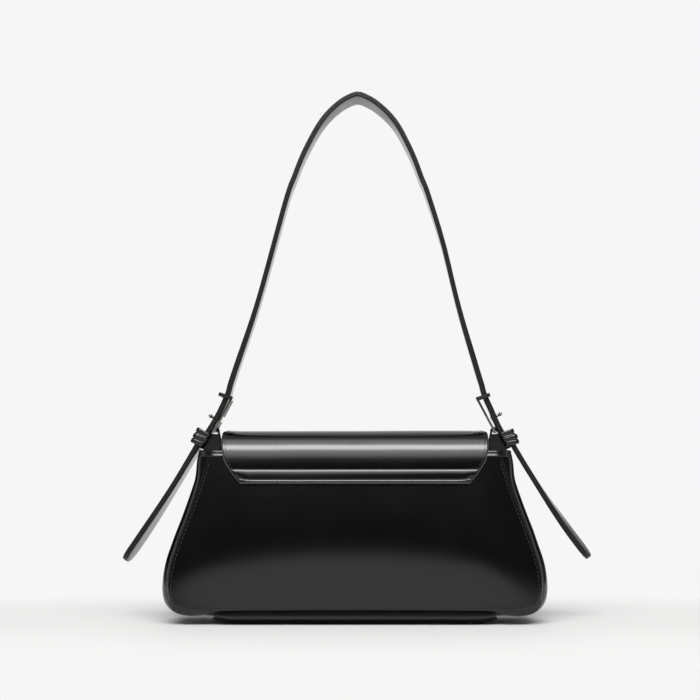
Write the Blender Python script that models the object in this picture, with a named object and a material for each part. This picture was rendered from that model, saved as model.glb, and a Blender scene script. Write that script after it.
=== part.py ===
"""Black leather shoulder bag with a roll-over flap, an arched strap, two loop buckles and two free strap tails.

Metres, +Z up. The bag stands on Z = 0 with its back towards -Y, its front towards +Y and its width along X.
The body is a flared box of leather panels, the flap turns about the rear edge of the mouth, and the strap
swings above its buckles. Everything on the right side is drawn once and turned half round for the left.
"""

import math

import bpy
import bmesh
from mathutils import Matrix, Vector

for old in list(bpy.data.objects):
    bpy.data.objects.remove(old, do_unlink=True)

# General
CLEAR = 0.0003
OVERRUN = 0.004
HALF_TURN = math.pi

# Body: the seam outline of the rear and front panels, seen square on
BODY_TOP = 0.1275
SEAM_BOTTOM = 0.008
SEAM_HALF_TOP = 0.1080
SEAM_FLARE = 0.0288
SEAM_HALF_WIDE = SEAM_HALF_TOP + SEAM_FLARE
WIDE_HEIGHT = 0.030
CORNER_WIDTH = 0.024
TOP_HANDLE = 0.034
WIDE_HANDLE = 0.030
TOP_FLARE_DEG = 18.0
HALF_DEPTH_TOP = 0.0250
HALF_DEPTH_BOTTOM = 0.0365

# Body: leather and boards
PANEL_T = 0.0018
STIFFENER_T = 0.0010
LINING_T = 0.0008
STIFFENER_INSET = 0.0050
GUSSET_BULGE_TOP = 0.0092
GUSSET_BULGE = 0.0066
GUSSET_BULGE_END = 0.0052
BULGE_FADE = 0.045
BASE_END_GAP = 0.0058
BASE_HALF_LENGTH = SEAM_HALF_WIDE - CORNER_WIDTH - BASE_END_GAP
BASE_T = 0.0020
BOARD_T = 0.0020
BOARD_END_GAP = 0.0090
BOARD_HALF_LENGTH = BASE_HALF_LENGTH - BOARD_END_GAP
BOARD_DEPTH_SHARE = 0.58
BULGE_ROUNDNESS = 3.0
BULGE_FLATNESS = 1.35

# Mouth binding
BINDING_T = 0.0008
BINDING_DROP = 0.0038
BINDING_END_GAP = 0.0035
BINDING_HALF_LENGTH = SEAM_HALF_TOP - BINDING_END_GAP

# Slip pocket
POCKET_T = 0.0010
POCKET_HALF_WIDTH = 0.0560
POCKET_DROP = 0.0235
POCKET_TOP = BODY_TOP - POCKET_DROP
POCKET_BOTTOM = 0.0420
POCKET_CORNER = 0.0080

# Flap
FLAP_OUTER_T = 0.0016
FLAP_LINING_T = 0.0012
LINING_MARGIN = 0.0015
HINGE_LIFT = 0.0015
FLAP_LIFT = 0.0146
FLAP_DROP = 0.0670
FLAP_HINGE_HEIGHT = BODY_TOP + HINGE_LIFT
FLAP_TOP = FLAP_HINGE_HEIGHT + FLAP_LIFT
FLAP_END_HEIGHT = FLAP_HINGE_HEIGHT - FLAP_DROP
FLAP_ROLL = 0.0090
FLAP_SIDE_GAP = 0.0103
FLAP_NECK_IN = 0.0107
FLAP_TAPER = 0.0115
FLAP_HALF_REAR = SEAM_HALF_TOP - FLAP_SIDE_GAP
FLAP_HALF_FRONT = FLAP_HALF_REAR - FLAP_NECK_IN
FLAP_HALF_END = FLAP_HALF_FRONT - FLAP_TAPER
FLAP_CORNER = 0.0220
FLAP_NECK_START = -0.0240
FLAP_NECK_END = 0.0080
FLAP_MAX_DEG = 170.0

# Flap root, sewn to the rear panel
ROOT_T = 0.0028
ROOT_DROP = 0.0248
ROOT_TAPER = 0.0131
ROOT_SLOPE_DROP = 0.0055
ROOT_BOTTOM = FLAP_HINGE_HEIGHT - ROOT_DROP
ROOT_HALF_BOTTOM = FLAP_HALF_REAR - ROOT_TAPER
ROOT_SLOPE_TOP = FLAP_HINGE_HEIGHT - ROOT_SLOPE_DROP
BAR_LIFT = 0.0020
BAR_HEIGHT = 0.0078
BAR_BOTTOM = ROOT_BOTTOM + BAR_LIFT
BAR_TOP = BAR_BOTTOM + BAR_HEIGHT
BAR_RISE = 0.0012
BAR_TOP_IN = 0.0112
BAR_BOTTOM_IN = 0.0147
BAR_HALF_TOP = FLAP_HALF_REAR - BAR_TOP_IN
BAR_HALF_BOTTOM = FLAP_HALF_REAR - BAR_BOTTOM_IN

# Magnetic snap
SNAP_RADIUS = 0.0080
SNAP_T = 0.0019
SNAP_RIM = 0.0022
SNAP_DISH = 0.0008
SNAP_DOME_RADIUS = 0.0028
SNAP_DOME = 0.0004
SNAP_LIFT = 0.0220
SNAP_HEIGHT = FLAP_END_HEIGHT + SNAP_LIFT

# Buckle, on the right side: where the frame's lower bar lies, and how far the frame leans in
BAR_INSET = 0.0027
BAR_STAND = 0.0156
BAR_X = SEAM_HALF_TOP - BAR_INSET
BAR_Z = BODY_TOP + BAR_STAND
FRAME_LEAN_DEG = 30.0
FRAME_LENGTH = 0.0290
FRAME_T = 0.0016
FRAME_RAIL = 0.0026
LOWER_BAR_RADIUS = 0.0013
CROSSBAR_UP = 0.0104
CROSSBAR_HALF = 0.0022
COLLAR_REACH = 0.0101
COLLAR_HALF_HEIGHT = 0.0014
COLLAR_WALL = 0.0017
COLLAR_TILT_DEG = 11.0
STUD_RADIUS = 0.0011
STUD_BALL = 0.0016
STUD_FLANGE_RADIUS = 0.0021
STUD_FLANGE = 0.0007
STUD_LENGTH = 0.0096

# Strap
STRAP_HALF_WIDTH = 0.0130
STRAP_T = 0.0036
STRAP_EDGE = 0.0007
SWING_LIFT = 0.0449
STRAP_RISE = 0.2083
STRAP_PIVOT_HEIGHT = BAR_Z + SWING_LIFT
STRAP_TOP = STRAP_PIVOT_HEIGHT + STRAP_RISE
STRAP_BACK_DEG = 60.0
STRAP_FRONT_DEG = 88.0
STRAP_LEAN = 0.0020
SWING_INSET = 0.0134
PIVOT_HALF_SPAN = BAR_X - SWING_INSET
# Half the strap's outer span and its height, as shares of the span and rise above the swing axis
STRAP_SPAN_SHARES = (1.0, 0.815, 0.597, 0.530, 0.475, 0.418, 0.340, 0.263, 0.173, 0.093, 0.0)
STRAP_RISE_SHARES = (0.0, 0.253, 0.613, 0.698, 0.762, 0.816, 0.879, 0.925, 0.963, 0.986, 1.0)
HOLE_RADIUS = 0.0016

# Strap end, between the collar and the keeper: distance out from the frame's plane at each place
END_OUT_COLLAR = 0.0049
END_OUT_STUD = 0.0038
END_OUT_KEEPER = 0.0055

# Keeper
KEEPER_UP = -0.0092
KEEPER_HALF_HEIGHT = 0.0047
KEEPER_HALF_OUT = 0.0062
KEEPER_WALL_Y = 0.0026
KEEPER_TURNS = 3
KEEPER_RIDGE = 0.0007

# Tail
TAIL_LENGTH = 0.1030
TAIL_LEAN_DEG = 32.5
TAIL_BOW = 0.0022
TAIL_ROUND = 0.0100
TAIL_IN_DEG = 8.0
TAIL_OUT_DEG = 40.0

# Tab
TAB_HALF_WIDTH = 0.0120
TAB_T = 0.0013
TAB_FOOT_DROP = 0.0195
TAB_BEND_DROP = 0.0060
TAB_NECK_LIFT = 0.0065
TAB_NECK_OUT = 0.0003
TAB_FOOT_HEIGHT = BODY_TOP - TAB_FOOT_DROP
TAB_BEND_HEIGHT = BODY_TOP - TAB_BEND_DROP
TAB_NECK_HEIGHT = BODY_TOP + TAB_NECK_LIFT
TAB_NECK_X = BAR_X + TAB_NECK_OUT

# Derived places
REAR_FACE = HALF_DEPTH_TOP + CLEAR + BINDING_T + CLEAR + ROOT_T
FLAP_T = FLAP_OUTER_T + CLEAR + FLAP_LINING_T
FRONT_STANDOFF = 4 * CLEAR + 2 * SNAP_T
FRONT_OFFSET = FRONT_STANDOFF + FLAP_T
DEPTH_SLOPE = (HALF_DEPTH_BOTTOM - HALF_DEPTH_TOP) / (BODY_TOP - SEAM_BOTTOM)
WALL_STACK = PANEL_T + CLEAR + STIFFENER_T + CLEAR + LINING_T


def material(name, colour, roughness, metallic=0.0):
    """A plain surface in the piece's own colour."""
    made = bpy.data.materials.new(name)
    made.use_nodes = True
    shader = made.node_tree.nodes["Principled BSDF"]
    shader.inputs["Base Color"].default_value = (*colour, 1.0)
    shader.inputs["Roughness"].default_value = roughness
    shader.inputs["Metallic"].default_value = metallic
    return made


BLACK_LEATHER = material("black_leather", (0.012, 0.012, 0.014), 0.28)
EDGE_LEATHER = material("edge_leather", (0.02, 0.02, 0.021), 0.45)
LINING_CLOTH = material("lining_cloth", (0.03, 0.03, 0.032), 0.85)
BOARD = material("stiff_board", (0.35, 0.30, 0.24), 0.9)
PALE_METAL = material("pale_metal", (0.86, 0.83, 0.76), 0.16, 1.0)


def add_object(name, mesh_source, finish, smooth=False):
    """Turns a bmesh into a named object with outward faces."""
    mesh = bpy.data.meshes.new(name)
    bmesh.ops.recalc_face_normals(mesh_source, faces=mesh_source.faces)
    mesh_source.to_mesh(mesh)
    mesh_source.free()
    mesh.materials.append(finish)
    if smooth:
        mesh.shade_smooth()
        mesh.set_sharp_from_angle(angle=math.radians(40.0))
    made = bpy.data.objects.new(name, mesh)
    bpy.context.scene.collection.objects.link(made)
    return made


def turned_copy(source, name):
    """The left-hand piece: the right-hand one turned half round about the bag's upright axis."""
    made = bpy.data.objects.new(name, source.data)
    bpy.context.scene.collection.objects.link(made)
    made.matrix_world = Matrix.Rotation(HALF_TURN, 4, "Z") @ source.matrix_world
    for modifier in source.modifiers:
        copied = made.modifiers.new(modifier.name, modifier.type)
        copied.object = modifier.object
    return made


def grid_solid(rows, closed_ring):
    """A closed solid from rows of ring points; the first and last rings are capped."""
    shape = bmesh.new()
    rings = [[shape.verts.new(point) for point in row] for row in rows]
    for near, far in zip(rings, rings[1:]):
        count = len(near)
        last = count if closed_ring else count - 1
        for index in range(last):
            following = (index + 1) % count
            shape.faces.new((near[index], near[following], far[following], far[index]))
    shape.faces.new(rings[0])
    shape.faces.new(list(reversed(rings[-1])))
    return shape


def sheet_solid(outer, inner):
    """A closed shell between two equal grids of points, joined along all four borders."""
    shape = bmesh.new()
    faces_out = [[shape.verts.new(point) for point in row] for row in outer]
    faces_in = [[shape.verts.new(point) for point in row] for row in inner]
    rows = len(outer)
    columns = len(outer[0])
    for i in range(rows - 1):
        for j in range(columns - 1):
            shape.faces.new((faces_out[i][j], faces_out[i][j + 1], faces_out[i + 1][j + 1], faces_out[i + 1][j]))
            shape.faces.new((faces_in[i][j], faces_in[i + 1][j], faces_in[i + 1][j + 1], faces_in[i][j + 1]))
    for j in range(columns - 1):
        shape.faces.new((faces_out[0][j + 1], faces_out[0][j], faces_in[0][j], faces_in[0][j + 1]))
        shape.faces.new((faces_out[-1][j], faces_out[-1][j + 1], faces_in[-1][j + 1], faces_in[-1][j]))
    for i in range(rows - 1):
        shape.faces.new((faces_out[i][0], faces_out[i + 1][0], faces_in[i + 1][0], faces_in[i][0]))
        shape.faces.new((faces_out[i + 1][-1], faces_out[i][-1], faces_in[i][-1], faces_in[i + 1][-1]))
    return shape


def plate(outline, lay, near, far):
    """A flat plate: each outline point is laid at its near and its far side."""
    shape = bmesh.new()
    front = [shape.verts.new(lay(point, near)) for point in outline]
    back = [shape.verts.new(lay(point, far)) for point in outline]
    count = len(outline)
    for index in range(count):
        following = (index + 1) % count
        shape.faces.new((front[index], back[index], back[following], front[following]))
    shape.faces.new(front)
    shape.faces.new(list(reversed(back)))
    return shape


def half_depth(height):
    """Half the body's depth, which narrows towards the mouth."""
    return HALF_DEPTH_TOP + (BODY_TOP - height) * DEPTH_SLOPE


def smooth_step(value):
    held = min(1.0, max(0.0, value))
    return held * held * (3.0 - 2.0 * held)


# Body outline


def side_stations(steps, corner_steps):
    """Places down the right seam: x, z, and the angle of the outward direction below the horizontal."""
    flare = math.radians(TOP_FLARE_DEG)
    start = Vector((SEAM_HALF_TOP, BODY_TOP))
    leave = start + Vector((math.sin(flare), -math.cos(flare))) * TOP_HANDLE
    finish = Vector((SEAM_HALF_WIDE, WIDE_HEIGHT))
    arrive = finish + Vector((0.0, WIDE_HANDLE))
    stations = []
    for step in range(steps):
        t = step / steps
        point = (
            start * (1 - t) ** 3
            + leave * (3 * t * (1 - t) ** 2)
            + arrive * (3 * t * t * (1 - t))
            + finish * t**3
        )
        stations.append((point.x, point.y, 0.0))
    for step in range(corner_steps + 1):
        angle = 0.5 * math.pi * step / corner_steps
        x = SEAM_HALF_WIDE - CORNER_WIDTH * (1 - math.cos(angle))
        z = WIDE_HEIGHT - (WIDE_HEIGHT - SEAM_BOTTOM) * math.sin(angle)
        stations.append((x, z, angle))
    return stations


SIDE_STEPS = 12
CORNER_STEPS = 6
SIDE = side_stations(SIDE_STEPS, CORNER_STEPS)


def moved_in(station, inset):
    """An outline place shifted inwards, square to the side or round the corner."""
    x, z, angle = station
    return x - inset * math.cos(angle), z + inset * math.sin(angle)


def panel_outline(inset, top):
    """The whole seam outline, inset, with its top edge at the given height."""
    line = [moved_in(station, inset) for station in SIDE]
    kept = [point for point in line if point[1] < top - CLEAR]
    above = line[len(line) - len(kept) - 1]
    share = (top - kept[0][1]) / (above[1] - kept[0][1])
    corner = (kept[0][0] + (above[0] - kept[0][0]) * share, top)
    right = [corner] + kept
    return right + [(-x, z) for x, z in reversed(right)]


def bulge_at(station, end_bulge):
    """How far the gusset stands out of the seam at mid depth."""
    _, z, angle = station
    fade = smooth_step((BODY_TOP - z) / BULGE_FADE)
    side = GUSSET_BULGE_TOP + (GUSSET_BULGE - GUSSET_BULGE_TOP) * fade
    return side + (end_bulge - side) * math.sin(angle) ** 2


def bulge_share(across):
    """The gusset's rounded section: 0 at both seams, 1 over the middle."""
    return min(1.0, BULGE_FLATNESS * (1.0 - abs(across) ** BULGE_ROUNDNESS))


def gusset_rows(stations, inset, end_bulge, edge_inset, across_steps):
    """Grid over the gusset strip, one row for each station and one column for each step across."""
    rows = []
    for station in stations:
        x, z, angle = station
        bulge = bulge_at(station, end_bulge)
        row = []
        for step in range(across_steps + 1):
            across = -1.0 + 2.0 * step / across_steps
            out = bulge * bulge_share(across) - inset
            height = z - out * math.sin(angle)
            reach = half_depth(height) - edge_inset
            row.append(Vector((x + out * math.cos(angle), across * reach, height)))
        rows.append(row)
    return rows


def panel_lay(side, depth_offset):
    """Lays an outline point on the slanted rear (-1) or front (+1) face, in by depth_offset plus its depth."""

    def lay(point, depth):
        x, z = point
        return Vector((x, side * (half_depth(z) - depth_offset - depth), z))

    return lay


def build_body():
    rear = add_object("rear_panel", plate(panel_outline(0.0, BODY_TOP), panel_lay(-1, 0.0), 0.0, PANEL_T), BLACK_LEATHER)
    front = add_object("front_panel", plate(panel_outline(0.0, BODY_TOP), panel_lay(1, 0.0), 0.0, PANEL_T), BLACK_LEATHER)
    edge = PANEL_T + CLEAR
    stations = SIDE + [(BASE_HALF_LENGTH, SEAM_BOTTOM, 0.5 * math.pi)]
    across = 10
    outer = gusset_rows(stations, 0.0, GUSSET_BULGE_END, edge, across)
    inner = gusset_rows(stations, PANEL_T, GUSSET_BULGE_END, edge, across)
    right = add_object("side_gusset_right", sheet_solid(outer, inner), BLACK_LEATHER, True)
    left = turned_copy(right, "side_gusset_left")

    base_end = BASE_HALF_LENGTH - CLEAR
    base_stations = [
        (base_end * share, SEAM_BOTTOM, 0.5 * math.pi) for share in (1.0, 0.5, 0.0, -0.5, -1.0)
    ]
    base_outer = gusset_rows(base_stations, 0.0, SEAM_BOTTOM, edge, across)
    base_inner = gusset_rows(base_stations, BASE_T, SEAM_BOTTOM, edge, across)
    base = add_object("base_panel", sheet_solid(base_outer, base_inner), BLACK_LEATHER, True)

    for name, side in (("rear_stiffener", -1), ("front_stiffener", 1)):
        outline = panel_outline(STIFFENER_INSET, BODY_TOP - STIFFENER_INSET)
        add_object(name, plate(outline, panel_lay(side, edge), 0.0, STIFFENER_T), BOARD)

    board_z = BASE_T + CLEAR
    board_half = (half_depth(SEAM_BOTTOM) - edge) * BOARD_DEPTH_SHARE
    corners = (
        (BOARD_HALF_LENGTH, board_half),
        (-BOARD_HALF_LENGTH, board_half),
        (-BOARD_HALF_LENGTH, -board_half),
        (BOARD_HALF_LENGTH, -board_half),
    )
    add_object("base_board", plate(corners, lambda point, up: Vector((*point, board_z + up)), 0.0, BOARD_T), BOARD)
    return rear, front, right, left, base


def build_lining():
    """One open-topped bag of cloth: rear and front faces joined by a strip that follows the gussets."""
    gap_in = PANEL_T + CLEAR
    depth_in = PANEL_T + CLEAR + STIFFENER_T + CLEAR
    across = 10
    half = SIDE[:-1]
    mirrored = [(-x, z, HALF_TURN - angle) for x, z, angle in reversed(half)]
    middle = [
        (place, SEAM_BOTTOM, 0.5 * math.pi)
        for place in (BASE_HALF_LENGTH, 0.0, -BASE_HALF_LENGTH)
    ]
    stations = half + middle + mirrored

    def cup(inset, depth_inset):
        rows = []
        for x, z, angle in stations:
            right_angle = angle if angle <= 0.5 * math.pi else HALF_TURN - angle
            bulge = bulge_at((abs(x), z, right_angle), GUSSET_BULGE_END)
            row = []
            for step in range(across + 1):
                share = -1.0 + 2.0 * step / across
                out = bulge * bulge_share(share) - inset
                height = z - out * math.sin(angle)
                reach = half_depth(height) - depth_inset
                row.append(Vector((x + out * math.cos(angle), share * reach, height)))
            rows.append(row)
        return rows

    outer_rows = cup(gap_in, depth_in)
    inner_rows = cup(gap_in + LINING_T, depth_in + LINING_T)
    shape = bmesh.new()
    outer = [[shape.verts.new(point) for point in row] for row in outer_rows]
    inner = [[shape.verts.new(point) for point in row] for row in inner_rows]
    for skin in (outer, inner):
        for near, far in zip(skin, skin[1:]):
            for j in range(across):
                shape.faces.new((near[j], near[j + 1], far[j + 1], far[j]))
        shape.faces.new([row[0] for row in skin])
        shape.faces.new([row[-1] for row in skin])
    rim_out = outer[0] + list(reversed(outer[-1]))
    rim_in = inner[0] + list(reversed(inner[-1]))
    count = len(rim_out)
    for index in range(count):
        following = (index + 1) % count
        shape.faces.new((rim_out[index], rim_out[following], rim_in[following], rim_in[index]))
    return add_object("lining", shape, LINING_CLOTH)


def build_bindings():
    """A folded strip over the mouth's rear edge and one over its front edge."""
    outer = -(CLEAR + BINDING_T)
    inner = WALL_STACK + CLEAR + BINDING_T
    low = BODY_TOP - BINDING_DROP
    lip = BODY_TOP + CLEAR
    crest = lip + BINDING_T
    profile = (
        (outer, low),
        (outer, crest),
        (inner, crest),
        (inner, low),
        (inner - BINDING_T, low),
        (inner - BINDING_T, lip),
        (outer + BINDING_T, lip),
        (outer + BINDING_T, low),
    )
    for name, side in (("mouth_binding_rear", -1), ("mouth_binding_front", 1)):

        def lay(point, x, side=side):
            depth, z = point
            return Vector((x, side * (half_depth(z) - depth), z))

        add_object(name, plate(profile, lay, -BINDING_HALF_LENGTH, BINDING_HALF_LENGTH), EDGE_LEATHER)


def build_pocket():
    """A slip pocket's panel, sewn to the rear lining."""
    steps = 5
    outline = [(POCKET_HALF_WIDTH, POCKET_TOP)]
    for step in range(steps + 1):
        angle = 0.5 * math.pi * step / steps
        x = POCKET_HALF_WIDTH - POCKET_CORNER * (1 - math.cos(angle))
        z = POCKET_BOTTOM + POCKET_CORNER * (1 - math.sin(angle))
        outline.append((x, z))
    outline += [(-x, z) for x, z in reversed(outline)]
    add_object("slip_pocket", plate(outline, panel_lay(-1, WALL_STACK + CLEAR), 0.0, POCKET_T), LINING_CLOTH)


# Flap


def band(stations, edge):
    """A strap-like solid. Each station: centre, across direction, thickness direction, half width, half thickness."""
    rows = []
    for centre, across, through, half_width, half_thick in stations:
        cut = min(edge, half_thick * 0.6, half_width * 0.6)
        corners = (
            (half_width - cut, half_thick),
            (-half_width + cut, half_thick),
            (-half_width, half_thick - cut),
            (-half_width, -half_thick + cut),
            (-half_width + cut, -half_thick),
            (half_width - cut, -half_thick),
            (half_width, -half_thick + cut),
            (half_width, half_thick - cut),
        )
        rows.append([centre + across * a + through * b for a, b in corners])
    return grid_solid(rows, True)


def flap_half_width(y, z):
    """The flap is full width at the back, draws in between the buckles and tapers down the front."""
    neck = smooth_step((y - FLAP_NECK_START) / (FLAP_NECK_END - FLAP_NECK_START))
    width = FLAP_HALF_REAR + (FLAP_HALF_FRONT - FLAP_HALF_REAR) * neck
    if y > 0.0:
        fall = min(1.0, max(0.0, (FLAP_HINGE_HEIGHT - z) / (FLAP_HINGE_HEIGHT - FLAP_END_HEIGHT)))
        width += (FLAP_HALF_END - FLAP_HALF_FRONT) * fall
        above_end = z - FLAP_END_HEIGHT
        if above_end < FLAP_CORNER:
            width -= FLAP_CORNER - math.sqrt(max(0.0, FLAP_CORNER**2 - (FLAP_CORNER - above_end) ** 2))
    return width


def flap_path(depth):
    """Places along the flap at a depth under its outer face: y, z, and the outward normal."""
    slant = math.atan(DEPTH_SLOPE)
    out_front = Vector((math.cos(slant), math.sin(slant)))
    down_front = Vector((math.sin(slant), -math.cos(slant)))
    rear_y = -REAR_FACE
    roll_z = FLAP_TOP - FLAP_ROLL
    places = [(Vector((rear_y, FLAP_HINGE_HEIGHT + 0.5 * CLEAR)), Vector((-1.0, 0.0)))]
    arc_steps = 6
    rear_centre = Vector((rear_y + FLAP_ROLL, roll_z))
    for step in range(arc_steps + 1):
        angle = math.pi - 0.5 * math.pi * step / arc_steps
        normal = Vector((math.cos(angle), math.sin(angle)))
        places.append((rear_centre + normal * FLAP_ROLL, normal))
    through = Vector((half_depth(BODY_TOP) + FRONT_OFFSET, BODY_TOP))
    front_y = through.x + (-FLAP_ROLL - (roll_z - through.y) * math.sin(slant)) / math.cos(slant)
    front_centre = Vector((front_y, roll_z))
    top_steps = 9
    for step in range(1, top_steps):
        y = rear_centre.x + (front_centre.x - rear_centre.x) * step / top_steps
        places.append((Vector((y, FLAP_TOP)), Vector((0.0, 1.0))))
    for step in range(arc_steps + 1):
        angle = 0.5 * math.pi + (slant - 0.5 * math.pi) * step / arc_steps
        normal = Vector((math.cos(angle), math.sin(angle)))
        places.append((front_centre + normal * FLAP_ROLL, normal))
    start = front_centre + out_front * FLAP_ROLL
    fall = (start.y - FLAP_END_HEIGHT) / math.cos(slant)
    corner_start = 1.0 - FLAP_CORNER / (start.y - FLAP_END_HEIGHT)
    shares = [corner_start * step / 4 for step in range(1, 5)]
    corner_steps = 6
    for step in range(1, corner_steps + 1):
        angle = 0.5 * math.pi * step / corner_steps
        shares.append(corner_start + (1.0 - corner_start) * math.sin(angle))
    for share in shares:
        places.append((start + down_front * (fall * share), out_front))
    return [(place - normal * depth, normal) for place, normal in places]


def flap_layer(name, depth, thickness, margin, finish):
    stations = []
    path = flap_path(0.0)
    for (outer, _), (place, normal) in zip(path, flap_path(depth + 0.5 * thickness)):
        width = flap_half_width(outer.x, outer.y) - margin
        centre = Vector((0.0, place.x, place.y))
        stations.append((centre, Vector((1.0, 0.0, 0.0)), Vector((0.0, normal.x, normal.y)), width, 0.5 * thickness))
    return add_object(name, band(stations, 0.35 * thickness), finish, True)


def build_flap():
    hinge = bpy.data.objects.new("flap_axis", None)
    bpy.context.scene.collection.objects.link(hinge)
    hinge.location = (0.0, -REAR_FACE, FLAP_HINGE_HEIGHT)
    outer = flap_layer("flap_outer", 0.0, FLAP_OUTER_T, 0.0, BLACK_LEATHER)
    lining = flap_layer("flap_lining", FLAP_OUTER_T + CLEAR, FLAP_LINING_T, LINING_MARGIN, EDGE_LEATHER)

    slant = math.atan(DEPTH_SLOPE)
    out_front = Vector((0.0, math.cos(slant), math.sin(slant)))
    spin = Vector((0.0, 0.0, 1.0)).rotation_difference(out_front).to_matrix().to_4x4()
    seat = Vector((0.0, half_depth(SNAP_HEIGHT), SNAP_HEIGHT))
    socket_profile = (
        (0.0, 0.0),
        (SNAP_RADIUS, 0.0),
        (SNAP_RADIUS, SNAP_T - SNAP_DISH),
        (SNAP_RADIUS - SNAP_DISH, SNAP_T),
        (SNAP_RADIUS - SNAP_RIM, SNAP_T),
        (SNAP_RADIUS - SNAP_RIM - SNAP_DISH, SNAP_T - SNAP_DISH),
        (0.0, SNAP_T - SNAP_DISH),
    )
    stud_profile = (
        (0.0, SNAP_T),
        (SNAP_RADIUS, SNAP_T),
        (SNAP_RADIUS, SNAP_DISH),
        (SNAP_RADIUS - SNAP_DISH, 0.0),
        (SNAP_DOME_RADIUS, 0.0),
        (0.0, -SNAP_DOME),
    )
    socket = add_object("snap_socket", turned_shape(socket_profile, 28), PALE_METAL, True)
    socket.matrix_world = Matrix.Translation(seat + out_front * CLEAR) @ spin
    stud = add_object("snap_stud", turned_shape(stud_profile, 28), PALE_METAL, True)
    stud.matrix_world = Matrix.Translation(seat + out_front * (2 * CLEAR + SNAP_T + CLEAR)) @ spin
    bpy.context.view_layer.update()
    for piece in (outer, lining, stud):
        world = piece.matrix_world.copy()
        piece.parent = hinge
        piece.matrix_parent_inverse = Matrix.Translation(hinge.location).inverted()
        piece.matrix_world = world
    build_root()


def build_root():
    """The sewn end of the flap, on the rear panel, and the raised bar between its two rows of stitching."""
    top = FLAP_HINGE_HEIGHT - 0.5 * CLEAR
    offset = CLEAR + BINDING_T + CLEAR
    steps = 8
    outline = [(FLAP_HALF_REAR, top)]
    for step in range(steps + 1):
        share = step / steps
        z = ROOT_SLOPE_TOP + (ROOT_BOTTOM - ROOT_SLOPE_TOP) * share
        drawn = (FLAP_HALF_REAR - ROOT_HALF_BOTTOM) * (0.35 * share + 0.65 * share * share)
        outline.append((FLAP_HALF_REAR - drawn, z))
    outline += [(-x, z) for x, z in reversed(outline)]

    def lay(point, out):
        x, z = point
        leaning = half_depth(min(z, BODY_TOP))
        return Vector((x, -(leaning + offset + out), z))

    add_object("flap_root", plate(outline, lay, ROOT_T, 0.0), BLACK_LEATHER)
    seat = offset + ROOT_T + CLEAR
    rows = []
    for share in (0.0, 0.15, 0.5, 0.85, 1.0):
        z = BAR_BOTTOM + (BAR_TOP - BAR_BOTTOM) * share
        half = BAR_HALF_BOTTOM + (BAR_HALF_TOP - BAR_HALF_BOTTOM) * share
        rise = BAR_RISE * (0.35 + 0.65 * math.sin(math.pi * share))
        y = half_depth(z) + seat
        rows.append((z, half, y, rise))
    outer = [[Vector((side * half, -(y + rise), z)) for side in (-1, 0, 1)] for z, half, y, rise in rows]
    inner = [[Vector((side * half, -y, z)) for side in (-1, 0, 1)] for z, half, y, rise in rows]
    add_object("flap_root_bar", sheet_solid(outer, inner), BLACK_LEATHER)


def turned_shape(profile, sides):
    """A turned solid: the profile's radius and height pairs spun about Z."""
    shape = bmesh.new()
    rings = []
    for radius, height in profile:
        if radius < CLEAR:
            rings.append([shape.verts.new((0.0, 0.0, height))])
            continue
        ring = []
        for index in range(sides):
            angle = 2.0 * math.pi * index / sides
            ring.append(shape.verts.new((radius * math.cos(angle), radius * math.sin(angle), height)))
        rings.append(ring)
    for near, far in zip(rings, rings[1:]):
        for index in range(sides):
            following = (index + 1) % sides
            if len(near) == 1:
                shape.faces.new((near[0], far[following], far[index]))
            elif len(far) == 1:
                shape.faces.new((near[index], near[following], far[0]))
            else:
                shape.faces.new((near[index], near[following], far[following], far[index]))
    if len(rings[0]) > 1:
        shape.faces.new(rings[0])
    if len(rings[-1]) > 1:
        shape.faces.new(rings[-1])
    return shape


# Buckles, in a frame of their own: out of the frame's plane, across the bag, and up the frame


def buckle_frame_axes():
    lean = math.radians(FRAME_LEAN_DEG)
    out = Vector((math.cos(lean), 0.0, math.sin(lean)))
    up = Vector((-math.sin(lean), 0.0, math.cos(lean)))
    return out, up


OUT, UP = buckle_frame_axes()
SIDEWAYS = Vector((0.0, 1.0, 0.0))
BAR_PLACE = Vector((BAR_X, 0.0, BAR_Z))
BUCKLE_SPACE = Matrix.Translation(BAR_PLACE) @ Matrix((OUT, SIDEWAYS, UP)).transposed().to_4x4()


def at_buckle(out, up):
    return BAR_PLACE + OUT * out + UP * up


def box(low, high):
    """A box between two corners."""
    shape = bmesh.new()
    made = bmesh.ops.create_cube(shape, size=1.0)
    for vertex in made["verts"]:
        for axis in range(3):
            vertex.co[axis] = low[axis] if vertex.co[axis] < 0 else high[axis]
    return shape


def helper(name, shape, space):
    """A hidden shape that a Boolean uses."""
    made = add_object(name, shape, PALE_METAL)
    made.matrix_world = space
    made.hide_render = True
    made.display_type = "WIRE"
    return made


def combine(target, tool, operation):
    step = target.modifiers.new(operation.lower() + "_" + tool.name, "BOOLEAN")
    step.operation = operation
    step.solver = "EXACT"
    step.object = tool


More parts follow.
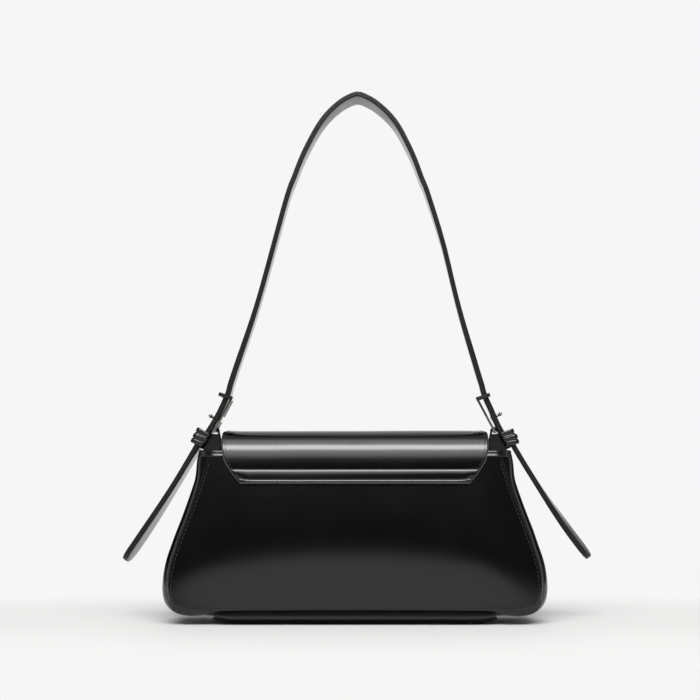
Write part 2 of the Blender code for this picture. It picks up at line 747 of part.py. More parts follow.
def build_buckles():
    inner_half = STRAP_HALF_WIDTH + CLEAR + CLEAR
    outer_half = inner_half + FRAME_RAIL
    half_t = 0.5 * FRAME_T
    frame = add_object(
        "buckle_frame_right", box((-half_t, -outer_half, 0.0), (half_t, outer_half, FRAME_LENGTH)), PALE_METAL
    )
    frame.matrix_world = BUCKLE_SPACE
    window_low = helper(
        "window_low",
        box((-OVERRUN, -inner_half, -OVERRUN), (OVERRUN, inner_half, CROSSBAR_UP - CROSSBAR_HALF)),
        BUCKLE_SPACE,
    )
    window_high = helper(
        "window_high",
        box(
            (-OVERRUN, -inner_half, CROSSBAR_UP + CROSSBAR_HALF),
            (OVERRUN, inner_half, FRAME_LENGTH - 2 * COLLAR_HALF_HEIGHT),
        ),
        BUCKLE_SPACE,
    )
    bar = turned_shape(((0.0, -outer_half), (LOWER_BAR_RADIUS, -outer_half), (LOWER_BAR_RADIUS, outer_half), (0.0, outer_half)), 16)
    bmesh.ops.rotate(bar, verts=bar.verts, cent=Vector(), matrix=Matrix.Rotation(-0.5 * math.pi, 3, "X"))
    lower_bar = helper("lower_bar", bar, BUCKLE_SPACE)
    collar_space = (
        BUCKLE_SPACE
        @ Matrix.Translation(Vector((0.0, 0.0, FRAME_LENGTH - COLLAR_HALF_HEIGHT)))
        @ Matrix.Rotation(math.radians(COLLAR_TILT_DEG), 4, "Y")
    )
    collar = helper(
        "collar",
        box((-half_t, -outer_half, -COLLAR_HALF_HEIGHT), (COLLAR_REACH, outer_half, COLLAR_HALF_HEIGHT)),
        collar_space,
    )
    passage = helper(
        "passage",
        box((half_t, -inner_half, -OVERRUN), (COLLAR_REACH - COLLAR_WALL, inner_half, OVERRUN)),
        collar_space,
    )
    for tool, operation in (
        (window_low, "DIFFERENCE"),
        (window_high, "DIFFERENCE"),
        (lower_bar, "UNION"),
        (collar, "UNION"),
        (passage, "DIFFERENCE"),
    ):
        combine(frame, tool, operation)
    freeze(frame)
    turned_copy(frame, "buckle_frame_left")

    stud_profile = (
        (0.0, 0.0),
        (STUD_FLANGE_RADIUS, 0.0),
        (STUD_FLANGE_RADIUS, STUD_FLANGE),
        (STUD_RADIUS, STUD_FLANGE),
        (STUD_RADIUS, STUD_LENGTH - 2 * STUD_BALL),
        (STUD_BALL * 0.87, STUD_LENGTH - 1.5 * STUD_BALL),
        (STUD_BALL, STUD_LENGTH - STUD_BALL),
        (STUD_BALL * 0.87, STUD_LENGTH - 0.5 * STUD_BALL),
        (0.0, STUD_LENGTH),
    )
    stud = add_object("buckle_stud_right", turned_shape(stud_profile, 14), PALE_METAL, True)
    stud.matrix_world = (
        Matrix.Translation(at_buckle(half_t + CLEAR, CROSSBAR_UP))
        @ Matrix((-UP, SIDEWAYS, OUT)).transposed().to_4x4()
    )
    turned_copy(stud, "buckle_stud_left")


def freeze(piece):
    """Keeps the result of a piece's Booleans as its mesh, and drops the tools."""
    bpy.context.view_layer.update()
    graph = bpy.context.evaluated_depsgraph_get()
    result = bpy.data.meshes.new_from_object(piece.evaluated_get(graph))
    tools = [step.object for step in piece.modifiers]
    piece.modifiers.clear()
    piece.data = result
    for tool in tools:
        bpy.data.objects.remove(tool, do_unlink=True)


# Strap, strap ends, keepers, tails and tabs


def strap_curve(spans, rises):
    """A smooth half arch through the span and rise shares, from the swing axis to the crown."""
    rise = STRAP_TOP - STRAP_PIVOT_HEIGHT
    points = [
        Vector((PIVOT_HALF_SPAN * span, STRAP_PIVOT_HEIGHT + rise * up)) for span, up in zip(spans, rises)
    ]
    slope = (points[1] - points[0]).normalized()
    before = points[0] - slope * (points[1] - points[0]).length
    after = Vector((-points[-2].x, points[-2].y))
    padded = [before] + points + [after]
    places = []
    steps = 3
    for index in range(1, len(padded) - 2):
        a, b, c, d = padded[index - 1 : index + 3]
        for step in range(steps):
            t = step / steps
            places.append(
                0.5
                * (
                    2 * b
                    + (c - a) * t
                    + (2 * a - 5 * b + 4 * c - d) * t * t
                    + (3 * b - a - 3 * c + d) * t**3
                )
            )
    places.append(points[-1])
    return places


def build_strap():
    half_t = 0.5 * STRAP_T
    right = strap_curve(STRAP_SPAN_SHARES, STRAP_RISE_SHARES)
    down = (right[0] - right[1]).normalized()
    round_steps = 6
    lead = []
    for step in range(round_steps):
        angle = 0.5 * math.pi * (step + 0.35) / (round_steps + 0.35)
        drop = STRAP_HALF_WIDTH * math.cos(angle) - STRAP_T * abs(down.x)
        place = right[0] + down * (drop / abs(down.y))
        lead.append((place, STRAP_HALF_WIDTH * math.sin(angle)))
    half = lead + [(place, STRAP_HALF_WIDTH) for place in right]
    whole = half + [(Vector((-place.x, place.y)), width) for place, width in reversed(half[:-1])]
    stations = []
    for index, (place, width) in enumerate(whole):
        before = whole[max(0, index - 1)][0]
        after = whole[min(len(whole) - 1, index + 1)][0]
        along = (after - before).normalized()
        out = Vector((along.y, -along.x))
        lean = STRAP_LEAN * (place.y - STRAP_PIVOT_HEIGHT) / (STRAP_TOP - STRAP_PIVOT_HEIGHT)
        centre = place - out * half_t
        stations.append(
            (
                Vector((centre.x + max(0.0, lean), 0.0, centre.y - STRAP_PIVOT_HEIGHT)),
                SIDEWAYS,
                Vector((out.x, 0.0, out.y)),
                width,
                half_t,
            )
        )
    strap = add_object("strap", band(stations, STRAP_EDGE), BLACK_LEATHER, True)
    strap.location = (0.0, 0.0, STRAP_PIVOT_HEIGHT)


def tail_pivot():
    """Where the tail leaves the keeper, on the strap's mid thickness."""
    return at_buckle(END_OUT_KEEPER, KEEPER_UP - KEEPER_HALF_HEIGHT)


def strap_end_places():
    """Centre places of the strap end, from its cut top above the collar down through the keeper."""
    top_z = STRAP_PIVOT_HEIGHT - STRAP_HALF_WIDTH - CLEAR
    first = strap_curve(STRAP_SPAN_SHARES, STRAP_RISE_SHARES)
    slope = (first[0] - first[1]).normalized()
    drop = (first[0].y - top_z) / abs(slope.y)
    out = Vector((-slope.y, slope.x))
    outer = first[0] + slope * drop
    top = outer - out * (0.5 * STRAP_T)
    start = Vector((top.x, 0.0, top.y))
    collar = at_buckle(END_OUT_COLLAR, FRAME_LENGTH - COLLAR_HALF_HEIGHT)
    stud = at_buckle(END_OUT_STUD, CROSSBAR_UP)
    keeper_top = at_buckle(END_OUT_KEEPER, KEEPER_UP + KEEPER_HALF_HEIGHT)
    exit_place = tail_pivot()
    return start, collar, stud, keeper_top, exit_place


def build_strap_ends():
    start, collar, stud, keeper_top, exit_place = strap_end_places()
    points = [start, collar, stud, keeper_top, exit_place]
    padded = [start * 2 - collar] + points + [exit_place * 2 - keeper_top]
    places = []
    steps = 4
    for index in range(1, len(padded) - 2):
        a, b, c, d = padded[index - 1 : index + 3]
        for step in range(steps):
            t = step / steps
            places.append(
                0.5
                * (2 * b + (c - a) * t + (2 * a - 5 * b + 4 * c - d) * t * t + (3 * b - a - 3 * c + d) * t**3)
            )
    places.append(exit_place)
    places[0].z = STRAP_PIVOT_HEIGHT - STRAP_HALF_WIDTH - CLEAR
    stations = []
    for index, place in enumerate(places):
        along = (places[min(len(places) - 1, index + 1)] - places[max(0, index - 1)]).normalized()
        out = Vector((-along.z, 0.0, along.x))
        if index == 0:
            # The top is cut level, so that the swinging strap clears it.
            out = Vector((1.0, 0.0, 0.0))
        stations.append((place, SIDEWAYS, out, STRAP_HALF_WIDTH, 0.5 * STRAP_T))
    end = add_object("strap_end_right", band(stations, STRAP_EDGE), BLACK_LEATHER, True)
    drill = turned_shape(((0.0, -OVERRUN), (HOLE_RADIUS, -OVERRUN), (HOLE_RADIUS, OVERRUN), (0.0, OVERRUN)), 14)
    drill_space = Matrix.Translation(stud) @ Matrix((-UP, SIDEWAYS, OUT)).transposed().to_4x4()
    combine(end, helper("stud_hole", drill, drill_space), "DIFFERENCE")
    freeze(end)
    turned_copy(end, "strap_end_left")


def build_keepers():
    """A leather keeper of three layered turns, in the buckle's own frame, closed round the strap end."""
    ring_points = 24
    half_out = KEEPER_HALF_OUT - KEEPER_RIDGE
    half_side = STRAP_HALF_WIDTH + CLEAR + KEEPER_WALL_Y
    corner = 0.5 * half_out
    steps = 4 * KEEPER_TURNS

    def rounded(half_a, half_b, radius):
        loop = []
        for quarter in range(4):
            centre_a = (half_a - radius) * (1 if quarter in (0, 3) else -1)
            centre_b = (half_b - radius) * (1 if quarter in (0, 1) else -1)
            for step in range(ring_points // 4):
                angle = 0.5 * math.pi * (quarter + step / (ring_points // 4 - 1))
                loop.append((centre_a + radius * math.cos(angle), centre_b + radius * math.sin(angle)))
        return loop

    rows = []
    for step in range(steps + 1):
        share = step / steps
        up = KEEPER_UP - KEEPER_HALF_HEIGHT + 2 * KEEPER_HALF_HEIGHT * share
        swell = KEEPER_RIDGE * abs(math.sin(math.pi * KEEPER_TURNS * share))
        loop = rounded(half_out + swell, half_side + swell, corner)
        rows.append([at_buckle(END_OUT_KEEPER + a, up) + SIDEWAYS * b for a, b in loop])
    hole_a = 0.5 * STRAP_T + 2 * CLEAR
    hole = rounded(hole_a, STRAP_HALF_WIDTH + CLEAR, 0.4 * hole_a)
    shape = bmesh.new()
    outer = [[shape.verts.new(point) for point in row] for row in rows]
    inner = []
    for up in (KEEPER_UP - KEEPER_HALF_HEIGHT, KEEPER_UP + KEEPER_HALF_HEIGHT):
        inner.append([shape.verts.new(at_buckle(END_OUT_KEEPER + a, up) + SIDEWAYS * b) for a, b in hole])
    count = len(hole)
    for near, far in list(zip(outer, outer[1:])) + [(inner[1], inner[0])]:
        for index in range(count):
            following = (index + 1) % count
            shape.faces.new((near[index], near[following], far[following], far[index]))
    for skin, rim in ((outer[0], inner[0]), (outer[-1], inner[1])):
        for index in range(count):
            following = (index + 1) % count
            shape.faces.new((skin[index], skin[following], rim[following], rim[index]))
    keeper = add_object("keeper_right", shape, EDGE_LEATHER, True)
    turned_copy(keeper, "keeper_left")


def build_tails():
    """The strap's free end: it leaves the keeper, bows a little and ends in a rounded tip."""
    lean = math.radians(TAIL_LEAN_DEG)
    down = Vector((math.sin(lean), 0.0, -math.cos(lean)))
    side = Vector((math.cos(lean), 0.0, math.sin(lean)))
    half_t = 0.5 * STRAP_T
    places = []
    round_steps = 4
    for step in range(round_steps):
        angle = 0.5 * math.pi * (step + 0.4) / (round_steps + 0.4)
        places.append((-half_t * math.cos(angle), STRAP_HALF_WIDTH, half_t * math.sin(angle)))
    length_steps = 12
    straight = TAIL_LENGTH - TAIL_ROUND
    for step in range(length_steps + 1):
        places.append((straight * step / length_steps, STRAP_HALF_WIDTH, half_t))
    tip_steps = 6
    for step in range(1, tip_steps + 1):
        angle = 0.5 * math.pi * step / (tip_steps + 0.5)
        along = straight + TAIL_ROUND * math.sin(angle)
        width = STRAP_HALF_WIDTH - TAIL_ROUND * (1 - math.cos(angle))
        places.append((along, width, half_t))
    stations = []
    start = down * (half_t + CLEAR)
    for along, width, thick in places:
        share = max(0.0, along) / TAIL_LENGTH
        bow = TAIL_BOW * 4.0 * share * (1.0 - share)
        tilt = math.atan(TAIL_BOW * 4.0 * (1.0 - 2.0 * share) / TAIL_LENGTH)
        through = side * math.cos(tilt) + down * math.sin(-tilt)
        centre = start + down * along + side * bow
        stations.append((centre, SIDEWAYS, through, width, thick))
    tail = add_object("strap_tail_right", band(stations, STRAP_EDGE), BLACK_LEATHER, True)
    tail.location = tail_pivot() + start
    for vertex in tail.data.vertices:
        vertex.co -= start
    bpy.context.view_layer.update()
    turned_copy(tail, "strap_tail_left")


def build_tabs():
    """A strip of leather folded round the frame's lower bar, its two legs sewn inside the gusset."""
    foot_station = (TAB_FOOT_HEIGHT, TAB_BEND_HEIGHT)
    half_gap = 0.5 * CLEAR + 0.5 * TAB_T
    seats = []
    for height in foot_station:
        near = min(SIDE, key=lambda station: abs(station[1] - height))
        before = [station for station in SIDE if station[1] >= height][-1]
        after = [station for station in SIDE if station[1] < height][0]
        share = (before[1] - height) / (before[1] - after[1])
        x = before[0] + (after[0] - before[0]) * share
        bulge = bulge_at((x, height, near[2]), GUSSET_BULGE_END)
        seats.append(x + bulge - PANEL_T - CLEAR - LINING_T - CLEAR - 0.5 * TAB_T - half_gap)
    radius = LOWER_BAR_RADIUS + CLEAR + 0.5 * TAB_T
    centre = BAR_PLACE
    legs = [
        Vector((seats[0], TAB_FOOT_HEIGHT)),
        Vector((seats[1], TAB_BEND_HEIGHT)),
        Vector((TAB_NECK_X, TAB_NECK_HEIGHT)),
        Vector((centre.x, centre.z - 2.4 * radius)),
    ]
    inner_leg = []
    outer_leg = []
    for index, place in enumerate(legs):
        before = legs[max(0, index - 1)]
        after = legs[min(len(legs) - 1, index + 1)]
        along = (after - before).normalized()
        right = Vector((along.y, -along.x))
        outer_leg.append(place + right * half_gap)
        inner_leg.append(place - right * half_gap)
    loop = []
    steps = 14
    opening = 0.62
    for step in range(steps + 1):
        angle = -0.5 * math.pi + opening + (2 * math.pi - 2 * opening) * step / steps
        loop.append(Vector((centre.x + radius * math.cos(angle), centre.z + radius * math.sin(angle))))
    path = outer_leg + loop + list(reversed(inner_leg))
    stations = []
    for index, place in enumerate(path):
        before = path[max(0, index - 1)]
        after = path[min(len(path) - 1, index + 1)]
        along = (after - before).normalized()
        through = Vector((along.y, 0.0, -along.x))
        stations.append((Vector((place.x, 0.0, place.y)), SIDEWAYS, through, TAB_HALF_WIDTH, 0.5 * TAB_T))
    tab = add_object("tab_right", band(stations, 0.2 * TAB_T), BLACK_LEATHER, True)
    turned_copy(tab, "tab_left")


build_body()
build_lining()
build_bindings()
build_pocket()
build_flap()
build_buckles()
build_strap()
build_strap_ends()
build_keepers()
build_tails()
build_tabs()
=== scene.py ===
# %% [markdown]
# A black leather shoulder bag
#
# This file dresses a small flap bag that stands with its back to the camera: a flared body of
# stiff black leather, a flap that rolls over the mouth, an arched strap held by two pale metal
# buckles, and the two free tails of that strap. The solids that carry, join and turn were made
# first and are loaded here as a fixed frame. Each step below makes one piece or one finish
# around them, and everything stays in metres in the frame's own axes: +X runs along the bag's
# width, +Y from its back to its flap, and +Z up.

# %% Tools and the frame
import math

import bmesh
import bpy
from mathutils import Matrix, Vector, noise


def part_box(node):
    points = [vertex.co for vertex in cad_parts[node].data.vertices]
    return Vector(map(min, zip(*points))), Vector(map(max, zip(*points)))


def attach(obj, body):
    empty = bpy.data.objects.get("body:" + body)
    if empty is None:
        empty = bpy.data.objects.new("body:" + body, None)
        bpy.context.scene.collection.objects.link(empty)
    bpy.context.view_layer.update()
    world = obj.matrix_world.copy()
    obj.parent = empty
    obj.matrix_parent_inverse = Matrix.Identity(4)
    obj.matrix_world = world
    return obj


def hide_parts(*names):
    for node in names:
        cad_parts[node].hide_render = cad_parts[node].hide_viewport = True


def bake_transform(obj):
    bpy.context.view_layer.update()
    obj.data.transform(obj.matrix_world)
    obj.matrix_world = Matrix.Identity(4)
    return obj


MM = 0.001

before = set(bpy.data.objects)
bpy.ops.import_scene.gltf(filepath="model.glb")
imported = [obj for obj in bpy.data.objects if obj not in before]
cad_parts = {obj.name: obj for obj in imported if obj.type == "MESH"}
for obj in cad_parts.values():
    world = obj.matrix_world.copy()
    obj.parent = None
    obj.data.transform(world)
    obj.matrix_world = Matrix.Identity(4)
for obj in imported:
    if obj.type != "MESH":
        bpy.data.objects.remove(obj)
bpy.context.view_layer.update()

# %% [markdown]
# The camera
#
# The photograph looks straight at the bag's back from a little above table height. Upright
# edges stay upright in it, so the camera is level, and the picture is framed by shifting the
# lens instead of tilting it. A lens of about 72 mm from a metre away gives the slight view of
# the strap's inner faces that the photograph has.

# %% Camera
PHOTO_SIZE = 700
FOCAL_PIXELS = 1392.0
VANISH_X = 355.0
VANISH_Y = 480.9
SENSOR = 36.0
CAMERA_DISTANCE = 1.05
EYE_HEIGHT = 0.1057


def make_camera():
    lens = bpy.data.cameras.new("studio_camera")
    lens.sensor_width = SENSOR
    lens.lens = FOCAL_PIXELS * SENSOR / PHOTO_SIZE
    lens.shift_x = (PHOTO_SIZE / 2 - VANISH_X) / PHOTO_SIZE
    lens.shift_y = (VANISH_Y - PHOTO_SIZE / 2) / PHOTO_SIZE
    lens.clip_end = 50.0
    made = bpy.data.objects.new("studio_camera", lens)
    made.location = (0.0, -CAMERA_DISTANCE, EYE_HEIGHT)
    made.rotation_euler = (math.radians(90.0), 0.0, 0.0)
    bpy.context.scene.collection.objects.link(made)
    bpy.context.scene.camera = made
    return made


camera = make_camera()
print("lens", round(camera.data.lens, 1), "mm, shift", round(camera.data.shift_y, 3))

# %% [markdown]
# Light
#
# Polished black leather has almost no colour of its own: what the eye reads is the shape of the
# lamps in it. One long soft box hangs above and behind the camera and draws the bright band
# along the rolled flap, and a dim wall of light stands on each side. The world gives the rest:
# low behind the camera the room is dark, which keeps the upright panel black, and higher up it
# has soft bright zones. The pale floor in front of the bag lifts the panel's lower part.

# %% Lamps
bpy.context.scene.view_settings.view_transform = "Standard"
BAG_MIDDLE = (0.0, 0.0, 0.13)
KEY_LIFT = math.radians(40.3)
KEY_DISTANCE = 1.75
KEY_SIZE = (2.0, 0.30)
KEY_GLOW = 13.0
WALL_PLACE = (1.9, 0.3, 0.7)
WALL_SIZE = (0.5, 1.4)
WALL_GLOW = 0.75


def soft_box(name, place, size, radiance):
    """A lamp aimed at the bag, its strength given as the brightness seen in a mirror."""
    lamp = bpy.data.lights.new(name, "AREA")
    lamp.shape = "RECTANGLE"
    lamp.size, lamp.size_y = size
    lamp.energy = radiance * math.pi * size[0] * size[1]
    made = bpy.data.objects.new(name, lamp)
    made.location = place
    made.rotation_euler = (Vector(BAG_MIDDLE) - Vector(place)).to_track_quat("-Z", "Y").to_euler()
    bpy.context.scene.collection.objects.link(made)


key_height = BAG_MIDDLE[2] + KEY_DISTANCE * math.sin(KEY_LIFT)
soft_box("key_box", (0.0, -KEY_DISTANCE * math.cos(KEY_LIFT), key_height), KEY_SIZE, KEY_GLOW)
for name, side in (("left_wall", -1), ("right_wall", 1)):
    soft_box(name, (side * WALL_PLACE[0], *WALL_PLACE[1:]), WALL_SIZE, WALL_GLOW)

# %% [markdown]
# Backdrop and floor
#
# The floor is one wide pale sheet. Close to the bag it takes the light and the shadow, and
# further out it fades into the tone of the backdrop, so that no horizon line shows. World,
# floor and finishes are all small graphs of nodes, so four helpers come first: one adds a node
# with its settings and inputs, one feeds inputs, and two cover the nodes used most.

# %% Node helpers
def feed(tree, node, inputs):
    """Links sockets to a node's inputs, and writes plain values into the others."""
    for key, value in inputs.items():
        if isinstance(value, bpy.types.NodeSocket):
            tree.links.new(value, node.inputs[key])
        else:
            node.inputs[key].default_value = value


def add_node(tree, kind, inputs=None, **settings):
    made = tree.nodes.new("ShaderNode" + kind)
    for name, value in settings.items():
        setattr(made, name, value)
    feed(tree, made, inputs or {})
    return made


def maths(tree, operation, *values):
    """The result of one maths node."""
    return add_node(tree, "Math", dict(enumerate(values)), operation=operation).outputs["Value"]


def share_between(tree, value, low, high, kind="SMOOTHSTEP"):
    """How far a value lies between two ends, as 0..1."""
    ends = {"Value": value, "From Min": low, "From Max": high}
    return add_node(tree, "MapRange", ends, interpolation_type=kind).outputs["Result"]


def start_material(name, colour, roughness, metallic=0.0, specular=0.5):
    made = bpy.data.materials.new(name)
    made.use_nodes = True
    tree = made.node_tree
    shader = tree.nodes["Principled BSDF"]
    plain = {"Roughness": roughness, "Metallic": metallic, "Specular IOR Level": specular}
    feed(tree, shader, {"Base Color": (*colour, 1.0), **plain})
    made.diffuse_color = (*colour, 1.0)
    return made, tree, shader


# %% World
BACKDROP_TONE = 0.9216
SIDE_TONE = 0.12
SIDE_FADE = (0.16, 0.42)
# What a mirror sees of the room, going up from the horizon behind the camera (0 degrees), over
# the top (90) and down to the backdrop (180). The long lamp itself is a real lamp, added above.
ROOM_TONES = (
    (-180.0, 0.90), (0.5, 0.90), (1.8, 0.12), (3.0, 0.03), (12.5, 0.04), (16.0, 0.20), (19.0, 0.90),
    (22.0, 2.1), (27.0, 3.2), (34.0, 3.8), (50.0, 3.4), (55.0, 3.4), (62.0, 1.9), (73.0, 0.9),
    (84.0, 0.42), (110.0, 0.50), (140.0, 0.75), (160.0, BACKDROP_TONE), (180.0, BACKDROP_TONE),
)


def room_curve(tree, share, highest):
    """The room's tones as a curve, over the share of a full turn."""
    zones = add_node(tree, "FloatCurve", {"Value": share})
    points = zones.mapping.curves[0].points
    for index, (angle, tone) in enumerate(ROOM_TONES):
        place = ((angle + 180.0) / 360.0, tone / highest)
        if index in (0, len(ROOM_TONES) - 1):
            points[0 if index == 0 else -1].location = place
        else:
            points.new(*place)
    for point in points:
        point.handle_type = "VECTOR"
    zones.mapping.update()
    return zones.outputs["Value"]


def make_world():
    """The backdrop for the camera, and a dark room with soft bright zones for everything else."""
    world = bpy.data.worlds.new("studio_room")
    bpy.context.scene.world = world
    world.use_nodes = True
    tree = world.node_tree
    where = add_node(tree, "TexCoord").outputs["Generated"]
    split = add_node(tree, "SeparateXYZ", {0: where}).outputs
    height = maths(tree, "ARCTAN2", split["Z"], maths(tree, "MULTIPLY", split["Y"], -1.0))
    share = share_between(tree, height, -math.pi, math.pi, "LINEAR")
    highest = max(tone for _, tone in ROOM_TONES)
    above = maths(tree, "MULTIPLY", room_curve(tree, share, highest), highest)
    aside = share_between(tree, maths(tree, "ABSOLUTE", split["X"]), *SIDE_FADE)
    room = add_node(tree, "Mix", {"Factor": aside, "A": above, "B": SIDE_TONE}, data_type="FLOAT")
    seen = add_node(tree, "LightPath").outputs["Is Camera Ray"]
    ends = {"Factor": seen, "A": room.outputs["Result"], "B": BACKDROP_TONE}
    tone = add_node(tree, "Mix", ends, data_type="FLOAT")
    feed(tree, tree.nodes["Background"], {"Color": tone.outputs["Result"]})


make_world()

# %% Floor
FLOOR_REACH = 6.0
FLOOR_DROP = 0.0002
FADE_START = 0.075
FADE_END = 0.27
WIDTH_SHARE = 0.42
FLOOR_COLOUR = (0.88, 0.88, 0.87)
FADE_COLOUR = (1.0, 1.0, 0.992, 1.0)


def make_floor():
    sheet = bmesh.new()
    bmesh.ops.create_grid(sheet, x_segments=8, y_segments=8, size=FLOOR_REACH)
    mesh = bpy.data.meshes.new("studio_floor")
    sheet.to_mesh(mesh)
    sheet.free()
    made = bpy.data.objects.new("studio_floor", mesh)
    made.location = (0.0, 0.0, -FLOOR_DROP)
    bpy.context.scene.collection.objects.link(made)
    finish, tree, shader = start_material("pale_floor", FLOOR_COLOUR, 0.75, specular=0.15)
    where = add_node(tree, "TexCoord").outputs["Object"]
    squeezed = add_node(tree, "Mapping", {"Vector": where, "Scale": (WIDTH_SHARE, 1.0, 1.0)})
    reach = add_node(tree, "VectorMath", {0: squeezed.outputs["Vector"]}, operation="LENGTH")
    fade = share_between(tree, reach.outputs["Value"], FADE_START, FADE_END)
    path = add_node(tree, "LightPath").outputs
    looked_at = maths(tree, "MAXIMUM", path["Is Camera Ray"], path["Is Glossy Ray"])
    seen = maths(tree, "MULTIPLY", fade, looked_at)
    glow = add_node(tree, "Emission", {"Color": FADE_COLOUR, "Strength": BACKDROP_TONE})
    ends = {"Fac": seen, 1: shader.outputs["BSDF"], 2: glow.outputs["Emission"]}
    mixed = add_node(tree, "MixShader", ends)
    feed(tree, tree.nodes["Material Output"], {"Surface": mixed.outputs["Shader"]})
    mesh.materials.append(finish)


make_floor()
print("floor reaches", FLOOR_REACH, "m each way")

# %% [markdown]
# Shared surface effects
#
# Leather, cloth and metal are never quite even. Three small node groups carry what several
# finishes share. The first is fine leather grain: soft pebbles with creases between them, and a
# slow unevenness of the polish. The second finds the high edges: on leather they are worn paler,
# and on the metal the same mask paints a highlight along them. The third is a twill weave. Each
# puts out masks and heights, and every material sets its own amounts.

# %% Group helper
def start_group(name, inputs, outputs):
    """A node group with number inputs and outputs; gives its tree and its two ends."""
    group = bpy.data.node_groups.new(name, "ShaderNodeTree")
    for label, value in inputs.items():
        socket = group.interface.new_socket(label, in_out="INPUT", socket_type="NodeSocketFloat")
        socket.default_value = value
    for label in outputs:
        group.interface.new_socket(label, in_out="OUTPUT", socket_type="NodeSocketFloat")
    return group, group.nodes.new("NodeGroupInput").outputs, group.nodes.new("NodeGroupOutput")


# %% Leather grain group
def make_grain_group():
    amounts = {"Pebble Scale": 900.0, "Polish Scale": 26.0, "Crease": 0.35}
    group, given, result = start_group("leather_grain", amounts, ("Height", "Polish"))
    where = add_node(group, "TexCoord").outputs["Object"]
    scale = given["Pebble Scale"]
    pebbles = add_node(group, "TexVoronoi", {"Vector": where, "Scale": scale}, feature="SMOOTH_F1")
    fine = maths(group, "MULTIPLY", scale, 2.6)
    pores = add_node(group, "TexNoise", {"Vector": where, "Scale": fine, "Detail": 4.0})
    spread = {"Vector": where, "Scale": given["Polish Scale"], "Detail": 3.0, "Roughness": 0.6}
    clouds = add_node(group, "TexNoise", spread)
    dip = maths(group, "MULTIPLY", pebbles.outputs["Distance"], given["Crease"])
    bumpy = maths(group, "MULTIPLY", pores.outputs["Fac"], 0.5)
    height = maths(group, "SUBTRACT", bumpy, dip)
    feed(group, result, {"Height": height, "Polish": clouds.outputs["Fac"]})
    return group


GRAIN = make_grain_group()

# %% Edge group: worn edges on leather, painted highlights on metal
def make_wear_and_glint_group():
    amounts = {"Start": 0.53, "End": 0.62, "Breakup Scale": 160.0}
    group, given, result = start_group("edge_wear_and_glint", amounts, ("Wear And Glint",))
    raised = add_node(group, "NewGeometry").outputs["Pointiness"]
    edges = share_between(group, raised, given["Start"], given["End"])
    where = add_node(group, "TexCoord").outputs["Object"]
    spread = {"Vector": where, "Scale": given["Breakup Scale"], "Detail": 3.0}
    patches = add_node(group, "TexNoise", spread)
    feed(group, result, {"Wear And Glint": maths(group, "MULTIPLY", edges, patches.outputs["Fac"])})
    return group


EDGE_WEAR_AND_GLINT = make_wear_and_glint_group()

# %% Twill weave group
def make_twill_group():
    amounts = {"Threads": 1500.0, "Slub Scale": 90.0}
    group, given, result = start_group("twill_weave", amounts, ("Height", "Shade"))
    where = add_node(group, "TexCoord").outputs["Object"]
    split = add_node(group, "SeparateXYZ", {0: where}).outputs
    across = maths(group, "ADD", split["X"], split["Y"])
    slants = (maths(group, "ADD", across, split["Z"]), maths(group, "SUBTRACT", across, split["Z"]))
    ribs = []
    for direction, share in zip(slants, (1.0, 2.0)):
        turns = maths(group, "MULTIPLY", direction, given["Threads"])
        ribs.append(maths(group, "SINE", maths(group, "MULTIPLY", turns, share)))
    weave = maths(group, "ADD", ribs[0], maths(group, "MULTIPLY", ribs[1], 0.35))
    slubs = add_node(group, "TexNoise", {"Vector": where, "Scale": given["Slub Scale"]})
    feed(group, result, {"Height": weave, "Shade": slubs.outputs["Fac"]})
    return group


TWILL = make_twill_group()
print("effect groups:", ", ".join(g.name for g in (GRAIN, EDGE_WEAR_AND_GLINT, TWILL)))

# %% [markdown]
# Leather finishes
#
# The outer leather is smooth, tight and polished, with a grain too fine to see from a metre
# away that only softens its reflections. The strap's cut edges are painted, so they are a
# touch duller and browner. The flap's rim has a paler leather, a painted highlight along its
# rolled edge. The keepers, the mouth edge and the lining of the flap are a softer black leather.

# %% Leather materials
BUMP_HEIGHT = 0.0001


def place_group(tree, group, values):
    """Places a shared effect with this material's own amounts; gives its outputs."""
    return add_node(tree, "Group", values, node_tree=group).outputs


def span(tree, mask, low, high):
    """Maps a 0..1 mask to a range."""
    ends = {"Value": mask, "To Min": low, "To Max": high}
    return add_node(tree, "MapRange", ends).outputs["Result"]


def blend_colour(tree, mask, first, second):
    ends = {"Factor": mask, "A": (*first, 1.0), "B": (*second, 1.0)}
    return add_node(tree, "Mix", ends, data_type="RGBA").outputs["Result"]


def bumps(tree, height, strength, distance=BUMP_HEIGHT):
    ends = {"Strength": strength, "Distance": distance, "Height": height}
    return add_node(tree, "Bump", ends).outputs["Normal"]


def leather(name, colour, worn_colour, roughness, pebble, strength, specular=0.5):
    """Black leather: grain in the surface, an uneven polish, and paler high edges."""
    made, tree, shader = start_material(name, colour, roughness, specular=specular)
    grain = place_group(tree, GRAIN, {"Pebble Scale": pebble})
    wear_and_glint = place_group(tree, EDGE_WEAR_AND_GLINT, {})
    looks = {
        "Base Color": blend_colour(tree, wear_and_glint["Wear And Glint"], colour, worn_colour),
        "Roughness": span(tree, grain["Polish"], roughness - 0.03, roughness + 0.04),
        "Normal": bumps(tree, grain["Height"], strength),
    }
    feed(tree, shader, looks)
    return made


# For each: its colour, its worn colour, roughness, pebble scale, depth of the grain, and gloss.
LEATHERS = {
    "polished_leather": ((0.0013, 0.0013, 0.0016), (0.010, 0.010, 0.011), 0.145, 1100.0, 0.06, 0.5),
    "soft_leather": ((0.003, 0.003, 0.0032), (0.015, 0.015, 0.015), 0.26, 900.0, 0.2, 0.5),
    "painted_edge": ((0.005, 0.0048, 0.0045), (0.02, 0.019, 0.018), 0.38, 700.0, 0.16, 0.35),
    # Pale leather for the flap's rim: a painted highlight along its rolled edge.
    "painted_rim_highlight": ((0.055, 0.055, 0.056), (0.07, 0.07, 0.07), 0.28, 700.0, 0.12, 0.5),
}
POLISHED, SOFT, PAINTED_EDGE, FLAP_RIM_HIGHLIGHT = (leather(name, *values) for name, values in LEATHERS.items())
print("leathers:", ", ".join(LEATHERS))
